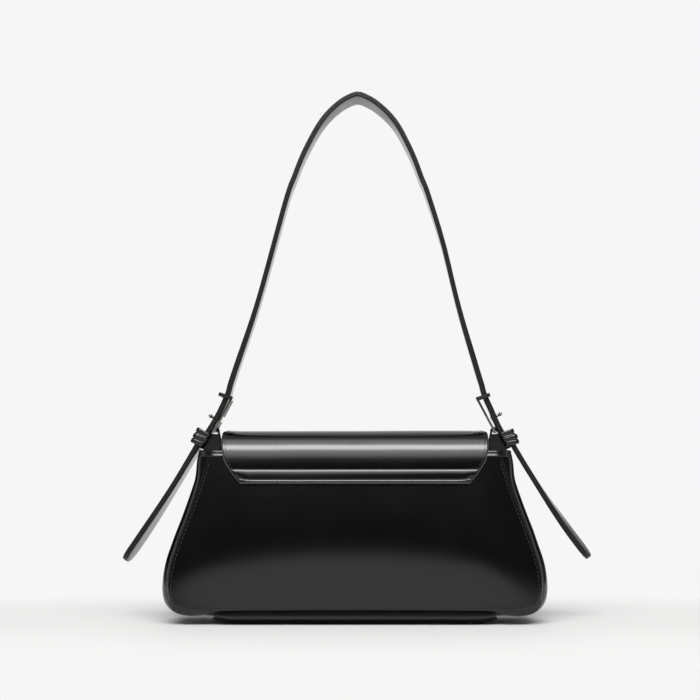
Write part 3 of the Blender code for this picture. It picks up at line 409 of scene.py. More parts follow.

# %% [markdown]
# Thread, cloth, board and metal
#
# The seams are sewn with waxed black thread, which shines more than the leather beside it. The
# inside is black twill. The boards in the walls are bare grey-brown fibre. The buckles are
# polished and plated in a pale warm tone, with hairline marks from polishing, and a highlight
# is painted paler into their colour along the high edges.

# %% Other materials
def make_thread():
    made, tree, shader = start_material("waxed_thread", (0.012, 0.012, 0.012), 0.36)
    where = add_node(tree, "TexCoord").outputs["Object"]
    twist = {"Vector": where, "Scale": 900.0, "Distortion": 0.6}
    strands = add_node(tree, "TexWave", twist, bands_direction="DIAGONAL").outputs["Fac"]
    colour = blend_colour(tree, strands, (0.006, 0.006, 0.006), (0.022, 0.022, 0.022))
    feed(tree, shader, {"Base Color": colour, "Normal": bumps(tree, strands, 0.5)})
    return made


def make_cloth():
    made, tree, shader = start_material("lining_twill", (0.018, 0.018, 0.02), 0.9)
    weave = place_group(tree, TWILL, {})
    colour = blend_colour(tree, weave["Shade"], (0.014, 0.014, 0.015), (0.03, 0.03, 0.032))
    normal = bumps(tree, weave["Height"], 0.35, 1.5 * BUMP_HEIGHT)
    feed(tree, shader, {"Base Color": colour, "Sheen Weight": 0.25, "Normal": normal})
    return made


def make_board():
    made, tree, shader = start_material("fibre_board", (0.30, 0.26, 0.21), 0.9)
    where = add_node(tree, "TexCoord").outputs["Object"]
    mat = {"Vector": where, "Scale": 420.0, "Detail": 6.0}
    fibres = add_node(tree, "TexNoise", mat).outputs["Fac"]
    colour = blend_colour(tree, fibres, (0.22, 0.19, 0.15), (0.40, 0.36, 0.30))
    feed(tree, shader, {"Base Color": colour, "Normal": bumps(tree, fibres, 0.4, 2.0 * BUMP_HEIGHT)})
    return made


def make_metal():
    made, tree, shader = start_material("pale_plating", (0.58, 0.565, 0.53), 0.06, metallic=1.0)
    where = add_node(tree, "TexCoord").outputs["Object"]
    stretched = add_node(tree, "Mapping", {"Vector": where, "Scale": (60.0, 60.0, 900.0)})
    marks = {"Vector": stretched.outputs["Vector"], "Scale": 4.0, "Detail": 5.0}
    hairlines = add_node(tree, "TexNoise", marks).outputs["Fac"]
    # The high edges get a paler colour: a painted highlight that stands for the bright line polished edges
    # reflect.
    wear_and_glint = place_group(tree, EDGE_WEAR_AND_GLINT, {"Start": 0.52, "End": 0.60})
    looks = {
        "Base Color": blend_colour(tree, wear_and_glint["Wear And Glint"], (0.56, 0.545, 0.51), (0.80, 0.78, 0.74)),
        "Roughness": span(tree, hairlines, 0.03, 0.08),
        "Normal": bumps(tree, hairlines, 0.06),
    }
    feed(tree, shader, looks)
    return made


THREAD = make_thread()
CLOTH = make_cloth()
BOARD = make_board()
METAL = make_metal()
print("materials:", len(bpy.data.materials))

# %% [markdown]
# How the pieces are built
#
# Every leather piece is a grid of points laid over a few curves that belong to the bag: the
# seam outline, the flap's section, or the run of the strap. A grid becomes a skin, and a
# Solidify modifier gives the skin its thickness, so each piece is a closed body. A helper
# gives the finished piece its material, ties it to its body unless it bends, and hides the
# solids it stands for.

# %% Mesh helpers
INSIDE = Vector((0.0, 0.0, 70.0 * MM))
SIDES = (("left", -1), ("right", 1))


def lay_grid(shape, rows, closed=False, wrapped=False):
    """Adds quads through rows of points; closed joins each row's ends, wrapped the last row to the first."""
    laid = [[shape.verts.new(point) for point in row] for row in rows]
    for near, far in zip(laid, laid[1:] + laid[:1] if wrapped else laid[1:]):
        count = len(near)
        for index in range(count if closed else count - 1):
            following = (index + 1) % count
            shape.faces.new((near[index], near[following], far[following], far[index]))
    return laid


def lay_tube(shape, rows):
    """Adds a closed solid through rings of points, with both ends filled."""
    laid = lay_grid(shape, rows, closed=True)
    shape.faces.new(list(reversed(laid[0])))
    shape.faces.new(laid[-1])


def skin(rows):
    shape = bmesh.new()
    lay_grid(shape, rows)
    return shape


def tube(rows):
    shape = bmesh.new()
    lay_tube(shape, rows)
    return shape


def settle(made):
    """Turns a piece's modifiers into plain mesh."""
    bpy.context.view_layer.update()
    graph = bpy.context.evaluated_depsgraph_get()
    mesh = bpy.data.meshes.new_from_object(made.evaluated_get(graph))
    made.modifiers.clear()
    made.data = mesh


def face_outwards(shape, centre):
    """Turns the faces so that most of them look away from a place inside the piece."""
    bmesh.ops.recalc_face_normals(shape, faces=shape.faces)
    shape.normal_update()
    looking = sum(
        face.calc_area() * face.normal.dot(face.calc_center_median() - centre) for face in shape.faces
    )
    if looking < 0.0:
        bmesh.ops.reverse_faces(shape, faces=shape.faces)


# %% From shape to piece
def piece(
    name,
    shape,
    stands_for=(),
    finish=POLISHED,
    body="bag",
    thick=0.0,
    bend=None,
    sharp=50.0,
):
    """Makes the object and dresses it; ties it to its body, or where it bends only bakes its place into the
    mesh.
    """
    if thick:
        face_outwards(shape, INSIDE)
    else:
        bmesh.ops.recalc_face_normals(shape, faces=shape.faces)
    mesh = bpy.data.meshes.new(name)
    shape.to_mesh(mesh)
    shape.free()
    made = bpy.data.objects.new(name, mesh)
    bpy.context.scene.collection.objects.link(made)
    if thick:
        wall = made.modifiers.new("thickness", "SOLIDIFY")
        wall.thickness = thick
        wall.offset = -1.0
        settle(made)
    made.data.materials.clear()
    made.data.materials.append(finish)
    made.data.shade_smooth()
    made.data.set_sharp_from_angle(angle=math.radians(sharp))
    if bend:
        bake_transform(made)
    else:
        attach(made, body)
    if stands_for:
        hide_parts(*stands_for)
    return made


# %% Small sums
def smooth_step(value):
    held = min(1.0, max(0.0, value))
    return held * held * (3.0 - 2.0 * held)


def even_shares(steps):
    """Even steps from -1 to 1."""
    return [-1.0 + 2.0 * step / steps for step in range(steps + 1)]


def uneven(point, size, amount, seed=0.0):
    """A slow, repeatable unevenness, for leather that has been handled."""
    place = Vector((point.x + seed, point.y - seed, point.z + 2.0 * seed)) / size
    return noise.noise(place) * amount


def on_side(vector, side):
    """The same place or direction on the left (-1) or right (1) half of the bag."""
    return Vector((vector.x * side, vector.y, vector.z))


def heading(run, index):
    """The way a run of places goes at one of them."""
    return run[min(len(run) - 1, index + 1)] - run[max(0, index - 1)]


# %% [markdown]
# The body's outline
#
# Seen from the back, the seam between panel and gusset leaves the mouth leaning outwards,
# swells to its widest point near the floor, and turns under in a short round corner. One
# curve and a quarter of an oval hold the whole outline. Front to back the body is a wedge:
# narrow at the mouth and deep at the base. The sizes come from the frame's boxes where these
# give them.

# %% Smooth runs of places
def curve_through(points, steps):
    """A smooth run of places through points, evenly many between each two."""
    padded = [points[0] * 2 - points[1]] + list(points) + [points[-1] * 2 - points[-2]]
    places = []
    for index in range(1, len(padded) - 2):
        a, b, c, d = padded[index - 1 : index + 3]
        for step in range(steps):
            t = step / steps
            bend = (2 * a - 5 * b + 4 * c - d) * t * t + (3 * b - a - 3 * c + d) * t**3
            places.append((2 * b + (c - a) * t + bend) * 0.5)
    places.append(points[-1].copy())
    return places


def even_steps(places, length):
    """The same run with places that are evenly far apart."""
    total = sum((b - a).length for a, b in zip(places, places[1:]))
    count = max(2, round(total / length))
    wanted = total / count
    found = [places[0]]
    walked = 0.0
    for a, b in zip(places, places[1:]):
        stretch = (b - a).length
        while len(found) < count and walked + stretch >= wanted * len(found):
            share = (wanted * len(found) - walked) / stretch
            found.append(a + (b - a) * share)
        walked += stretch
    return found + [places[-1]]


# %% Outline and wedge
rear_low, rear_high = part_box("rear_panel")
BODY_TOP = rear_high[2]
SEAM_BOTTOM = rear_low[2]
PANEL_THICK = 1.8 * MM
HALF_DEPTH_TOP = -rear_high[1] + PANEL_THICK
SEAM_HALF_TOP = 107.0 * MM
DEPTH_SLOPE = (-rear_low[1] - HALF_DEPTH_TOP) / (BODY_TOP - SEAM_BOTTOM)
BASE_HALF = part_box("base_panel")[1][0]
# Half width and height of the seam in millimetres, from the mouth round the lower corner.
SEAM_PLACES = (
    (107.0, 127.5), (109.4, 120.5), (113.2, 107.5), (117.3, 95.0), (121.6, 83.0), (126.8, 69.5),
    (130.9, 57.5), (134.2, 47.5), (136.4, 37.5), (137.2, 27.5), (136.4, 20.0), (134.6, 15.2),
    (131.6, 11.9), (127.6, 10.0), (123.2, 9.1), (118.5, 8.8),
)
SEAM_STEP = 2.4 * MM
# The soft line below which the walls turn upright: its height in the middle and at the sides,
# how long the turn is, how much slope it takes away, and how much softer it is in between.
TUCK_MIDDLE = 79.0 * MM
TUCK_SIDE = 40.0 * MM
TUCK_TURN = 36.0 * MM
TUCK_SLOPE = 0.075
TUCK_SIDE_SOFT = 0.8


def half_depth(height, across=1.0):
    """Half the body's depth: a wedge that bends to nearly upright below a soft line."""
    line = TUCK_MIDDLE + (TUCK_SIDE - TUCK_MIDDLE) * across**3
    below = max(0.0, line - height)
    turn = TUCK_TURN * (1.0 + TUCK_SIDE_SOFT * across**2 * (1.0 - across**2))
    if below < turn:
        tuck = TUCK_SLOPE * below**2 / (2.0 * turn)
    else:
        tuck = TUCK_SLOPE * (below - 0.5 * turn)
    return HALF_DEPTH_TOP + (BODY_TOP - height) * DEPTH_SLOPE - tuck


def seam_stations():
    """Places down the right-hand seam: x, z and how far the outward direction has turned down."""
    run = curve_through([Vector((x * MM, 0.0, z * MM)) for x, z in SEAM_PLACES], 8)
    run = even_steps(run, SEAM_STEP)
    stations = []
    for index, place in enumerate(run):
        along = heading(run, index)
        stations.append((place.x, place.z, max(0.0, -0.5 * math.pi - math.atan2(along.z, along.x))))
    return stations


SEAM = seam_stations()
print("seam places:", len(SEAM), "widest", round(max(x for x, _, _ in SEAM) / MM, 1), "mm from the middle")


# %% [markdown]
# Rear and front panels
#
# Each panel is firm leather over a board, yet it isn't flat. It is fullest at a third of its
# height, leans in towards the mouth, and its rim turns in to the seam over a small radius.
# That fullness is what makes the reflection change from black above to dark grey below, so
# the panel is a dense grid whose depth follows a formula.

# %% Panels
FULLNESS = 1.2 * MM
FULL_HEIGHT_SHARE = 0.42
RIM_RADIUS = 2.2 * MM
PANEL_LEATHER = 1.5 * MM
BASE_LINE = 10.4 * MM
# Over the base the panel ends at the base line. Past the base's ends it comes down further.
BASE_LAP = 3.0 * MM
CORNER_LIFT = 14.0 * MM
# Slow unevenness, its size in metres, and the width of the rim over which it fades.
HANDLED = 0.10 * MM
HANDLED_SIZE = 0.05
CALM_RIM = 0.02
# The snap's socket presses the front panel flat round itself.
SNAP_HEIGHT = 84.1 * MM
SNAP_REACH = 17.0 * MM
SNAP_DENT = 1.3 * MM
# Two soft folds that handling has left: a slanting one on the right, and an upright swelling
# on the left. For the first: a place on it, the way across it, depth, softness, and fade.
FOLD_PLACE = (96.0 * MM, 78.0 * MM)
FOLD_ACROSS = (0.93, 0.37)
FOLD_DEPTH = 0.35 * MM
FOLD_SOFT = 9.0 * MM
FOLD_FADE = (18.0 * MM, 30.0 * MM)
SWELLING_X = -94.0 * MM
SWELLING_RISE = 0.30 * MM
SWELLING_SOFT = 16.0 * MM
PANELS = (("rear", -1, 0.3), ("front", 1, 0.7))


def outline_distance(x, z, outline):
    """Distance from a point inside the panel to the seam."""
    point = Vector((abs(x), z))
    best = max(0.0, z - outline[-1][1])
    for (ax, az, _), (bx, bz, _) in zip(outline, outline[1:]):
        a = Vector((ax, az))
        along = Vector((bx, bz)) - a
        t = min(1.0, max(0.0, (point - a).dot(along) / along.length_squared))
        best = min(best, (point - a - along * t).length)
    return best


def fullness(u, z):
    """How far the panel swells out of its flat wedge face."""
    rise = max(0.0, (z - SEAM_BOTTOM) / (BODY_TOP - SEAM_BOTTOM))
    if rise < FULL_HEIGHT_SHARE:
        up = math.sin(0.5 * math.pi * rise / FULL_HEIGHT_SHARE)
    else:
        up = math.cos(0.5 * math.pi * min(1.0, (rise - FULL_HEIGHT_SHARE) / (1.0 - FULL_HEIGHT_SHARE)))
    return FULLNESS * up * (1.0 - abs(u) ** 3.2)


def across_shares(middle, rim):
    """Even steps over the middle of a row and close ones at its two rims."""
    inner = [-0.97 + 1.94 * step / middle for step in range(middle + 1)]
    edge = [1.0 - 0.03 * (step / rim) ** 1.3 for step in range(rim)]
    return [-share for share in edge] + inner + list(reversed(edge))


def folds(x, z):
    across = (x - FOLD_PLACE[0]) * FOLD_ACROSS[0] + (z - FOLD_PLACE[1]) * FOLD_ACROSS[1]
    fold = FOLD_DEPTH * math.tanh(across / FOLD_SOFT) * smooth_step((z - FOLD_FADE[0]) / FOLD_FADE[1])
    return SWELLING_RISE * math.exp(-(((x - SWELLING_X) / SWELLING_SOFT) ** 2)) - fold


def panel_point(side, x, z, x_seam, inside, seed):
    """A place on a panel's outer face; inside is its distance from the seam."""
    u = x / x_seam
    turned = max(0.0, RIM_RADIUS - inside)
    rolled = RIM_RADIUS - math.sqrt(max(0.0, RIM_RADIUS**2 - turned**2))
    handled = folds(side * -x, z) + uneven(Vector((x, side * 0.03, z)), HANDLED_SIZE, HANDLED, seed)
    out = half_depth(z, abs(u)) + fullness(u, z) - rolled + handled * min(1.0, inside / CALM_RIM)
    if side > 0:
        from_snap = math.hypot(x, z - SNAP_HEIGHT) / SNAP_REACH
        out -= SNAP_DENT * math.exp(-(from_snap**4))
    return Vector((x, side * out, z))


def panel_shape(side, seed):
    shares = across_shares(34, 6)
    coarse = SEAM[::2] + [SEAM[-1]]
    corner_line = SEAM[-1][1]
    rows = []
    for x_seam, z, _ in SEAM:
        row = []
        low = smooth_step((CORNER_LIFT - z) / (CORNER_LIFT - corner_line))
        for u in shares:
            x = u * x_seam
            point = panel_point(side, x, z, x_seam, outline_distance(x, z, coarse), seed)
            point.z += low * (BASE_LINE - corner_line) * smooth_step((BASE_HALF - abs(x)) / BASE_LAP)
            row.append(point)
        rows.append(row)
    return skin(rows)


for name, side, seed in PANELS:
    made = piece(name + "_leather", panel_shape(side, seed), [name + "_panel"], thick=PANEL_LEATHER)
print("panel faces:", len(made.data.polygons))

# %% Boards in the panels
BOARD_IN = 2.0 * MM
BOARD_SHORT = 5.0 * MM
BOARD_THICK = 1.1 * MM
board_low, board_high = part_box("rear_stiffener")


def board_shape(side):
    """A sheet of fibre that follows the inside of a panel, cut short of the seam."""
    rows = []
    for x_seam, z, _ in SEAM:
        if not board_low[2] < z < board_high[2]:
            continue
        row = []
        for u in even_shares(32):
            out = half_depth(z, abs(u)) + fullness(u, z) - BOARD_IN + folds(side * -u * x_seam, z)
            row.append(Vector((u * (x_seam - BOARD_SHORT), side * out, z)))
        rows.append(row)
    return skin(rows)


for name, side, _ in PANELS:
    hidden = [name + "_stiffener"]
    piece(name + "_board", board_shape(side), hidden, BOARD, thick=BOARD_THICK)

# %% [markdown]
# Gussets
#
# A gusset is one strip of leather sewn between the two panels. It swells out past the seam,
# a little more at the mouth where the strap pulls it, and near the base it turns under in a
# short steep roll. Its cut ends lie under the base. Handling has left it slightly uneven, so
# slow noise moves it by a fraction of a millimetre.

# %% Gussets
GUSSET_BULGE_TOP = 9.2 * MM
GUSSET_BULGE = 5.7 * MM
GUSSET_BULGE_ENDS = {-1: 2.3 * MM, 1: 2.6 * MM}
GUSSET_IN = 1.9 * MM
GUSSET_LEATHER = 1.4 * MM
GUSSET_RIPPLE = 0.45 * MM
BULGE_FADE = 24.0 * MM
# Across the gusset the bulge is a flattened arch, held back softly where it nears its height.
BULGE_ROUND = 3.0
BULGE_FLAT = 1.35
HELD_FROM = 0.8
HELD_REST = 0.2
# Under the corner the arch turns into a box with round edges, and the seam is tucked in less.
BOX_POWER = 26
SEAM_TUCK = 3.0 * MM
TUCK_LESS = 0.6
TUCK_POWER = 12
TUCK_POWER_MORE = 24


def bulge_at(z, angle, end_bulge):
    fade = smooth_step((BODY_TOP - z) / BULGE_FADE)
    side = GUSSET_BULGE_TOP + (GUSSET_BULGE - GUSSET_BULGE_TOP) * fade
    return side + (end_bulge - side) * math.sin(angle) ** 2


def bulge_share(across):
    flat = BULGE_FLAT * (1.0 - abs(across) ** BULGE_ROUND)
    return flat if flat < HELD_FROM else 1.0 - HELD_REST * math.exp(-(flat - HELD_FROM) / HELD_REST)


def strip_shares(steps):
    """Steps across the gusset that are close together at its two seams."""
    return [math.sin(0.5 * math.pi * share) for share in even_shares(steps)]


def gusset_shape(side, seed):
    rows = []
    stations = SEAM + [(BASE_HALF + 0.3 * MM, BASE_LINE - 0.6 * MM, 0.5 * math.pi)]
    for x, z, angle in stations:
        bulge = bulge_at(z, angle, GUSSET_BULGE_ENDS[side])
        under = math.sin(angle) ** 2
        row = []
        for across in strip_shares(30):
            box = math.sqrt(1.0 - min(1.0, abs(across) ** BOX_POWER))
            share = bulge_share(across) * (1.0 - under) + box * under
            tuck = abs(across) ** (TUCK_POWER + TUCK_POWER_MORE * under)
            out = bulge * share - SEAM_TUCK * (1.0 - TUCK_LESS * under) * tuck
            height = z - out * math.sin(angle)
            reach = half_depth(height) - GUSSET_IN
            place = Vector((x + out * math.cos(angle), across * reach, height))
            ripple = uneven(place, 0.022, GUSSET_RIPPLE, seed) * (1.0 - across**4)
            place.x += ripple * math.cos(angle)
            place.z -= 0.5 * ripple * math.sin(angle)
            place.x *= side
            row.append(place)
        rows.append(row)
    return skin(rows)


for name, side, seed in (("left", -1, 1.1), ("right", 1, 2.3)):
    shape = gusset_shape(side, seed)
    piece("gusset_leather_" + name, shape, ["side_gusset_" + name], thick=GUSSET_LEATHER)
print("gussets bulge", round(GUSSET_BULGE / MM, 1), "mm past the seam")

# %% [markdown]
# Base
#
# The base is a separate thicker piece that laps over the ends of the gussets and hangs a few
# millimetres lower, so the bag rests on it. Its ends are cut at a slant, its long edges turn up
# to the seam, and its underside rises a little towards the ends.

# %% Base
BASE_LEATHER = 1.7 * MM
BASE_IN = 0.7 * MM
BASE_CUT = 4.0 * MM
BASE_END_RISE = 3.2 * MM
# The shares of the length from which the underside rises and the ends draw in, and the height
# of the lip's top in millimetres, which doesn't rise.
RISE_FROM = 0.88
DRAW_FROM = 0.985
LIP_TOP = 9.5
# Half the section, as a share of the depth and a height in millimetres: a short lip, then a
# recess below it, and the flat middle that the bag rests on.
BASE_HALF_SECTION = (
    (0.9985, 9.5), (1.0, 9.0), (1.003, 7.8), (1.006, 6.6), (1.007, 5.6), (1.002, 4.9), (0.98, 4.5),
    (0.93, 4.1), (0.86, 3.8), (0.80, 3.2), (0.76, 2.3), (0.73, 1.3), (0.70, 0.5), (0.66, 0.1),
    (0.60, 0.0), (0.45, 0.0), (0.25, 0.0),
)
BASE_SECTION = [(-a, z) for a, z in BASE_HALF_SECTION] + [(0.0, 0.0)] + list(reversed(BASE_HALF_SECTION))


def base_shape():
    reach = half_depth(SEAM_BOTTOM, 0.0) - BASE_IN
    rows = []
    for share in even_shares(40):
        ending = smooth_step((abs(share) - DRAW_FROM) / 0.015)
        lifted = BASE_END_RISE * smooth_step((abs(share) - RISE_FROM) / 0.12)
        row = []
        for across, height in BASE_SECTION:
            rise = lifted * (1.0 - height / LIP_TOP)
            x = share * (BASE_HALF - BASE_CUT * abs(across) ** 3)
            row.append(Vector((x, across * reach * (1.0 - 0.02 * ending), height * MM + rise)))
        rows.append(row)
    return skin(rows)


piece("base_leather", base_shape(), ["base_panel"], thick=BASE_LEATHER)

# %% [markdown]
# Flap
#
# The flap and its sewn root are one piece of leather. From the seam on the rear panel it
# rises, leans in over the mouth, lies level, and falls down the front. Its section is a run
# of arcs, each given by the tilt of the surface at its end. It draws in behind the buckles so
# that it can pass between them. One end is sewn to the body and the rest turns at the hinge;
# here the piece keeps its place and is tied to neither body.

# %% Flap section
FLAP_THICK = 2.7 * MM
FACING_ROOM = 1.3 * MM
ROOT_LEATHER = 1.5 * MM
ROOT_STAND = 3.0 * MM
ROOT_OUT = ROOT_LEATHER + ROOT_STAND
root_low, root_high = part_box("flap_root")
ROOT_BOTTOM = root_low[2] - 0.7 * MM
FLAP_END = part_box("flap_outer")[0][2]
FRONT_OUT = 8.0 * MM
SLANT = math.degrees(math.atan(DEPTH_SLOPE))
# Tilt of the outer face in degrees, from upright at the back over level to upright in front,
# and the length of each arc or straight that ends there.
REAR_ARCS = (
    (SLANT, 0.0),
    (SLANT - 1.5, 12.6 * MM),
    (8.0, 6.0 * MM),
    (27.0, 14.0 * MM),
    (62.0, 6.5 * MM),
    (90.0, 13.4 * MM),
)
FRONT_ARCS = ((120.0, 13.5 * MM), (180.0 - SLANT, 12.6 * MM))


def run_arcs(start, arcs, first_tilt, step_length):
    """Walks along the section; gives (y, z, tilt) at close steps."""
    places = []
    y, z = start
    tilt = first_tilt
    for end_tilt, length in arcs:
        if length <= 0.0:
            tilt = end_tilt
            continue
        steps = max(2, int(length / step_length))
        for step in range(steps):
            middle = math.radians(tilt + (end_tilt - tilt) * (step + 0.5) / steps)
            y += math.sin(middle) * length / steps
            z += math.cos(middle) * length / steps
            places.append((y, z, tilt + (end_tilt - tilt) * (step + 1) / steps))
        tilt = end_tilt
    return places


def flap_section():
    """The outer face's places from the root's lower edge to the front edge."""
    start = (-(half_depth(ROOT_BOTTOM) + ROOT_OUT), ROOT_BOTTOM)
    root = run_arcs(start, REAR_ARCS[:2], SLANT, 0.2 * MM)
    rear = [(start[0], start[1], SLANT)] + root
    rear += run_arcs(root[-1][:2], REAR_ARCS[2:], root[-1][2], 0.45 * MM)
    crown_y, crown_z, _ = rear[-1]
    front = run_arcs((0.0, 0.0), FRONT_ARCS, 90.0, 1.0 * MM)
    turn_y, turn_z, _ = front[-1]
    shoulder_z = crown_z + turn_z
    level = half_depth(shoulder_z) + FRONT_OUT - turn_y - crown_y
    top = run_arcs((crown_y, crown_z), ((90.0, level),), 90.0, 2.0 * MM)
    over = run_arcs((crown_y + level, crown_z), FRONT_ARCS, 90.0, 1.0 * MM)
    last_y, last_z, last_tilt = over[-1]
    fall = (last_z - FLAP_END) / math.cos(math.radians(SLANT))
    down = run_arcs((last_y, last_z), ((180.0 - SLANT, fall),), last_tilt, 1.3 * MM)
    return rear + top + over + down


FLAP_SECTION = flap_section()
crown = max(z for _, z, _ in FLAP_SECTION)
print("flap leather runs", len(FLAP_SECTION), "places, crown at", round(crown / MM, 1), "mm")

# %% Flap width
FLAP_HALF_REAR = root_high[0] + 0.8 * MM
FLAP_HALF_FRONT = 87.0 * MM
FLAP_HALF_END = 75.5 * MM
FLAP_CORNER = 22.0 * MM
NECK_START = -17.0 * MM
NECK_END = 10.0 * MM
# The root's outline in millimetres: half width and height, from its lower corner up.
ROOT_OUTLINE = (
    (84.2, 103.5), (85.6, 105.4), (89.5, 109.8), (93.7, 116.1), (96.4, 121.0), (97.8, 127.6), (98.5, 133.0),
)


def root_half_width(z):
    height = z / MM
    for (low_half, low), (high_half, high) in zip(ROOT_OUTLINE, ROOT_OUTLINE[1:]):
        if height <= high:
            share = max(0.0, (height - low) / (high - low))
            return (low_half + (high_half - low_half) * share) * MM
    return FLAP_HALF_REAR


def flap_half_width(y, z):
    if y < NECK_START:
        return root_half_width(z)
    neck = smooth_step((y - NECK_START) / (NECK_END - NECK_START))
    width = FLAP_HALF_REAR + (FLAP_HALF_FRONT - FLAP_HALF_REAR) * neck
    if y > 0.0:
        fall = min(1.0, max(0.0, (BODY_TOP - z) / (BODY_TOP - FLAP_END)))
        width += (FLAP_HALF_END - FLAP_HALF_FRONT) * fall
        above = z - FLAP_END
        if above < FLAP_CORNER:
            width -= FLAP_CORNER - math.sqrt(max(0.0, FLAP_CORNER**2 - (FLAP_CORNER - above) ** 2))
    return width


# %% Flap leather
# The root and the falling front both lie further than this from the middle of the bag.
ENDS_FROM = 0.02
EDGE_ROUND = 1.5 * MM
STITCH_IN = 2.9 * MM
STITCH_DIP = 0.2 * MM
UPPER_ROW = 114.9 * MM
LOWER_ROW = 107.2 * MM
GROOVE_EDGE = 0.32 * MM
# For each groove: its height, how deep it is, how far the leather rises below it, and how fast.
ROOT_GROOVES = ((UPPER_ROW, 0.75 * MM, 1.35 * MM, 1.8 * MM), (LOWER_ROW, 0.8 * MM, 1.0 * MM, 0.9 * MM))


def row_relief(z):
    """Two sharp grooves pressed into the root; below each one the leather swells out again."""
    relief = 0.0
    for row, dip, rise, reach in ROOT_GROOVES:
        if z > row:
            relief -= dip * smooth_step(1.0 - (z - row) / GROOVE_EDGE)
        else:
            relief += rise * (1.0 - math.exp((z - row) / reach)) - dip
    return relief


def surface_normal(tilt):
    return Vector((0.0, -math.cos(math.radians(tilt)), math.sin(math.radians(tilt))))


def flap_point(x, y, z, tilt):
    """A place on the flap's outer face, and the way that face looks there."""
    normal = surface_normal(tilt)
    point = Vector((x, y, z))
    from_side = flap_half_width(y, z) - abs(x)
    from_root = z - ROOT_BOTTOM if y < -ENDS_FROM else 1.0
    from_end = z - FLAP_END if y > ENDS_FROM else 1.0
    inside = min(from_side, from_root, from_end)
    turned = max(0.0, EDGE_ROUND - inside)
    lift = math.sqrt(max(0.0, EDGE_ROUND**2 - turned**2)) - EDGE_ROUND
    sewn = smooth_step((117.0 * MM - z) / (4.0 * MM))
    lift -= STITCH_DIP * sewn * math.exp(-(((from_side - STITCH_IN) / (0.45 * MM)) ** 2))
    if y < -ENDS_FROM:
        lift += row_relief(z) * smooth_step((from_side - 2.0 * MM) / (1.2 * MM))
    wave = uneven(point, 0.045, 0.22 * MM, 4.2) + uneven(point, 0.16, 0.5 * MM, 6.1)
    return point + normal * (lift + wave * min(1.0, inside / 0.012)), normal


def flap_shape():
    shares = across_shares(40, 9)
    rows = []
    for y, z, tilt in FLAP_SECTION:
        width = flap_half_width(y, z)
        rows.append([flap_point(u * width, y, z, tilt)[0] for u in shares])
    return skin(rows)


# %% Flap at its hinge
HINGE_Y = -29.0 * MM
HINGE_Z = 124.2 * MM
HINGE_LINE = (0.0, HINGE_Y, HINGE_Z)
HINGE_END = (0.0, HINGE_Y + 5.2 * MM, HINGE_Z + 3.9 * MM)
FLAP_BEND = ("flap", HINGE_LINE, HINGE_END)
flap_leather = piece(
    "flap_leather",
    flap_shape(),
    ["flap_outer", "flap_root", "flap_root_bar"],
    thick=FLAP_THICK - FACING_ROOM,
    bend=FLAP_BEND,
)
# The faces within RIM_WIDTH of the flap's edge take the pale rim leather: a painted highlight along the
# rolled rim.
RIM_WIDTH = 1.0 * MM
flap_leather.data.materials.append(FLAP_RIM_HIGHLIGHT)
for face in flap_leather.data.polygons:
    x, y, z = face.center
    low = z - ROOT_BOTTOM if y < -ENDS_FROM else z - FLAP_END
    if min(flap_half_width(y, z) - abs(x), low) < RIM_WIDTH:
        face.material_index = 1
print("flap leather faces:", len(flap_leather.data.polygons))

# %% [markdown]
# Strap
#
# The shoulder strap is two layers of leather glued back to back, cut to an even width, with
# painted edges. It is one long piece: over the crown, down each side, through the buckle's
# collar, past the stud and into the keeper. A section with a fine groove at mid thickness
# is carried along its run. The left half is turned by two degrees and the right one by five the
# other way, so the camera sees little more than an edge. On the real bag the strap swings above
# the collars and stays below them; here it keeps the place it is given.

# %% Bands
def strap_section(half_width, half_thick):
    """Points round the strap: rounded edges, a groove in each, and a faint crease by each seam."""
    shrink = min(1.0, half_width / (6.0 * MM))
    corner = 0.8 * half_thick
    crease = 0.10 * MM
    face = (
        (0.0, 0.0, -0.22 * MM),
        (0.0, 0.20 * half_thick, 0.0),
        (0.0, half_thick - 0.75 * corner, 0.0),
        (0.12 * corner, half_thick - 0.40 * corner, 0.0),
        (0.45 * corner, half_thick - 0.08 * corner, 0.0),
        (corner, half_thick, 0.0),
        (2.1 * MM, half_thick, 0.0),
        (2.7 * MM, half_thick - crease, 0.0),
        (3.3 * MM, half_thick, 0.0),
        (5.0 * MM, half_thick + 0.4 * crease, 0.0),
    )
    quarter = [(half_width - inset * shrink + dip, up) for inset, up, dip in face]
    right = quarter + [(0.0, half_thick + 0.5 * crease)]
    top = right + [(-a, b) for a, b in reversed(quarter)]
    return top + [(a, -b) for a, b in reversed(top[1:-1])]


EDGE_REACH = 5


def paint_edges(made):
    """Paints the cut edges of a band: a few rows of faces on each side of the groove."""
    count = len(strap_section(1.0, 1.0))
    half = count // 2
    made.data.materials.append(PAINTED_EDGE)
    for face in made.data.polygons:
        around = face.index % count
        if min(around, count - 1 - around) < EDGE_REACH or abs(around - half) <= EDGE_REACH:
            face.material_index = 1


def band_rows(stations):
    rows = []
    for centre, side, through, half_width, half_thick in stations:
        rows.append([centre + side * a + through * b for a, b in strap_section(half_width, half_thick)])
    return rows


